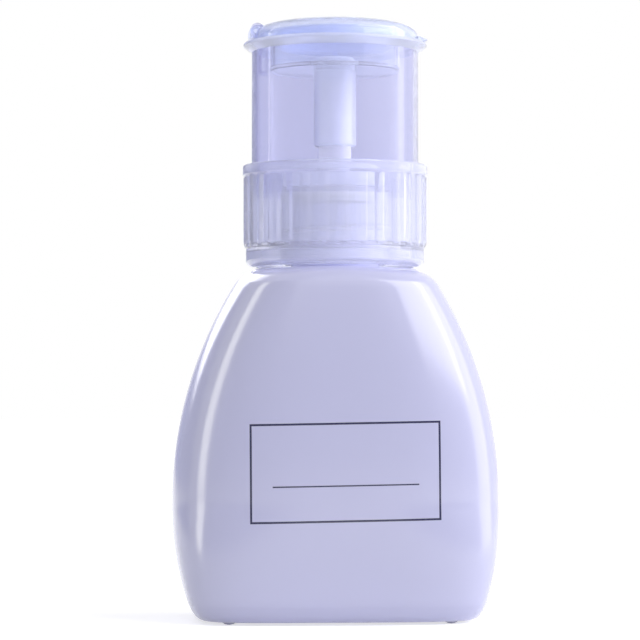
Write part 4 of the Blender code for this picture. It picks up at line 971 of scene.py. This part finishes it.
# %% Wind the spring
spring_tree, given = piece_tree("wound_spring", "Turns", "Radius", "Height", "Bottom", "Wire Radius")
coil = {"Resolution": 48, "Rotations": given["Turns"], "Height": given["Height"]}
coil |= {"Start Radius": given["Radius"], "End Radius": given["Radius"]}
spiral = result(spring_tree, "GeometryNodeCurveSpiral", inputs=coil)
round_wire = {"Resolution": 16, "Radius": given["Wire Radius"]}
wire = result(spring_tree, "GeometryNodeCurvePrimitiveCircle", inputs=round_wire)
sweep = {"Curve": spiral, "Profile Curve": wire, "Fill Caps": True}
swept = result(spring_tree, "GeometryNodeCurveToMesh", inputs=sweep)
hand_out(spring_tree, raise_up(spring_tree, swept, given["Bottom"]), given["Material"])
spring = mesh_object("wound_spring", bmesh.new(), steel)
SPRING_LOW, SPRING_HIGH, WIRE_R = mm(72.9, 88.3, 0.4)
spring_length = SPRING_HIGH - SPRING_LOW
between = {"Bottom": SPRING_LOW + WIRE_R, "Height": spring_length - 2 * WIRE_R}
grow(spring, spring_tree, Turns=6.0, Radius=4.6 * MM, Wire_Radius=WIRE_R, **between)
wear(spring, "pump", "spring_steel", "return_spring")
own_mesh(spring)

# %% [markdown]
# ## Studio
# A seamless white studio: a pale floor, a white surround and soft boxes all round. A clear wall shows what is
# behind it and what it mirrors, so plain white would make it vanish: for rays of gloss and glass, the
# surround is shaded with lavender on the camera's side and at the back left.

# %% The surround
ROOM_LIGHT, SHADE = 0.26, (0.22, 0.24, 0.50, 1)
WHITE = (1, 1, 1)


def toward(turn_deg):
    """A level direction, its turn counted from the camera's side to the right."""
    angle = math.radians(turn_deg)
    return toward_camera * math.cos(angle) + image_right * math.sin(angle)


def white_rays(tree, rays):
    """1 for the rays that should see plain white: the camera's, and those of gloss and glass."""
    seen = calc(tree, "MAXIMUM", rays["Is Camera Ray"], rays["Is Glossy Ray"])
    return calc(tree, "MAXIMUM", seen, rays["Is Transmission Ray"])


def dark_side(tree, seen_by, turn_deg, half_deg, soft, depth):
    """How far the surround is shaded on one side, for the rays that see it."""
    direction = put(tree, "ShaderNodeTexCoord").outputs["Generated"]
    inputs = {0: direction, 1: toward(turn_deg)}
    facing = put(tree, "ShaderNodeVectorMath", operation="DOT_PRODUCT", inputs=inputs).outputs["Value"]
    edge = math.cos(math.radians(half_deg))
    inputs = {"Value": facing, "From Min": edge - soft, "From Max": edge + soft, "To Max": depth}
    return calc(tree, "MULTIPLY", result(tree, "ShaderNodeMapRange", inputs=inputs), seen_by)


world = bpy.data.worlds.new("studio")
bpy.context.scene.world = world
world.use_nodes = True
tree = world.node_tree
rays = put(tree, "ShaderNodeLightPath").outputs
gloss_or_glass = calc(tree, "MAXIMUM", rays["Is Glossy Ray"], rays["Is Transmission Ray"])
camera_side = dark_side(tree, rays["Is Glossy Ray"], turn_deg=10, half_deg=71, soft=0.09, depth=0.5)
back_left = dark_side(tree, gloss_or_glass, turn_deg=-132, half_deg=36, soft=0.05, depth=0.75)
shaded = mix(tree, calc(tree, "ADD", camera_side, back_left), (*WHITE, 1), SHADE)
level = calc(tree, "MULTIPLY_ADD", white_rays(tree, rays), 1 - ROOM_LIGHT, ROOM_LIGHT)
background = tree.nodes["Background"]
tree.links.new(shaded, background.inputs["Color"])
tree.links.new(level, background.inputs["Strength"])
print("surround:", len(tree.nodes), "nodes")

# %% The floor
FLOOR_TINT, FLOOR_HALF = (0.86, 0.86, 0.87), 6
NEAR_GLOW, FAR_GLOW, NEAR, FAR = 0.65, 0.85, 0.15, 0.7
matt = {"Roughness": 0.9, "Specular_IOR_Level": 0.0, "Emission_Color": (*WHITE, 1)}
floor_paint, tree, shader = paint("floor_paint", FLOOR_TINT, **matt)
place = put(tree, "ShaderNodeTexCoord").outputs["Object"]
away = put(tree, "ShaderNodeVectorMath", operation="LENGTH", inputs={0: place}).outputs["Value"]
ramp = {"Value": away, "From Min": NEAR, "From Max": FAR, "To Min": NEAR_GLOW, "To Max": FAR_GLOW}
rays = put(tree, "ShaderNodeLightPath").outputs
glow = calc(tree, "MULTIPLY", white_rays(tree, rays), result(tree, "ShaderNodeMapRange", inputs=ramp))
tree.links.new(glow, shader.inputs["Emission Strength"])
bm = bmesh.new()
bmesh.ops.create_grid(bm, x_segments=1, y_segments=1, size=FLOOR_HALF)
floor = mesh_object("studio_floor", bm, floor_paint)
print("studio_floor:", 2 * FLOOR_HALF, "m wide")

# %% [markdown]
# ## Lamps
# The key light is a large soft box at the right, and a weak one in front opens the shadows. Narrow strips at
# the sides draw the long streaks, and fills at the back keep it from going grey. A lamp that would spoil a
# neighbouring piece reaches only the pieces named with it, by light linking.

# %% Set the lamps
LAMP_AIM = Vector((0, 0, 70 * MM))


def soft_box(name, turn_deg, distance, height, size, strength, colour=WHITE, reach=()):
    """A soft box that faces the bottle, and lights only the pieces in its reach if it has one."""
    lamp = bpy.data.lights.new(name, "AREA")
    lamp.shape = "RECTANGLE"
    lamp.size, lamp.size_y = size
    lamp.energy = strength * size[0] * size[1] * math.pi
    lamp.color = colour
    box = bpy.data.objects.new(name, lamp)
    bpy.context.collection.objects.link(box)
    box.location = toward(turn_deg) * distance + Vector((0, 0, height))
    box.rotation_euler = (LAMP_AIM - box.location).to_track_quat("-Z", "Y").to_euler()
    if reach:
        reached = bpy.data.collections.new(f"{name}_reach")
        for piece in reach:
            reached.objects.link(piece)
        box.light_linking.receiver_collection = reached
    print(f"{name}: {lamp.energy:.2f} W on", ", ".join(piece.name for piece in reach) or "everything")


# name, turn, distance, height, (width, height of the box), strength, then colour and reach
warm = (1.0, 1.0, 0.86)
behind = (bottle, feet, guide, stem, barrel)
soft_box("front_light", 12, 1.6, 1.1, (1.6, 1.4), 0.72)
soft_box("key_light", 66, 1.3, 0.90, (1.5, 1.1), 3.4)
soft_box("left_strip", -70, 0.9, 0.30, (0.22, 1.1), 3.7, warm, (bottle, feet, stem, guide, boss, flange))
soft_box("right_panel", 100, 0.9, 0.30, (0.5, 1.2), 1.7)
soft_box("back_fill", 205, 1.6, 1.1, (1.6, 1.4), 2.4, reach=behind)
soft_box("left_fill", -146, 1.5, 0.8, (1.0, 1.0), 1.9, reach=behind)
soft_box("head_left", -102, 0.9, 0.30, (0.08, 1.1), 5.0, reach=(head, lid, flange))
soft_box("head_right", 103, 0.9, 0.30, (0.22, 1.1), 5.0, reach=(head, lid))

# %% [markdown]
# ## Finish
# The view transform is plain.

# %% Finish
bpy.context.scene.view_settings.view_transform = "Standard"
bpy.context.view_layer.update()
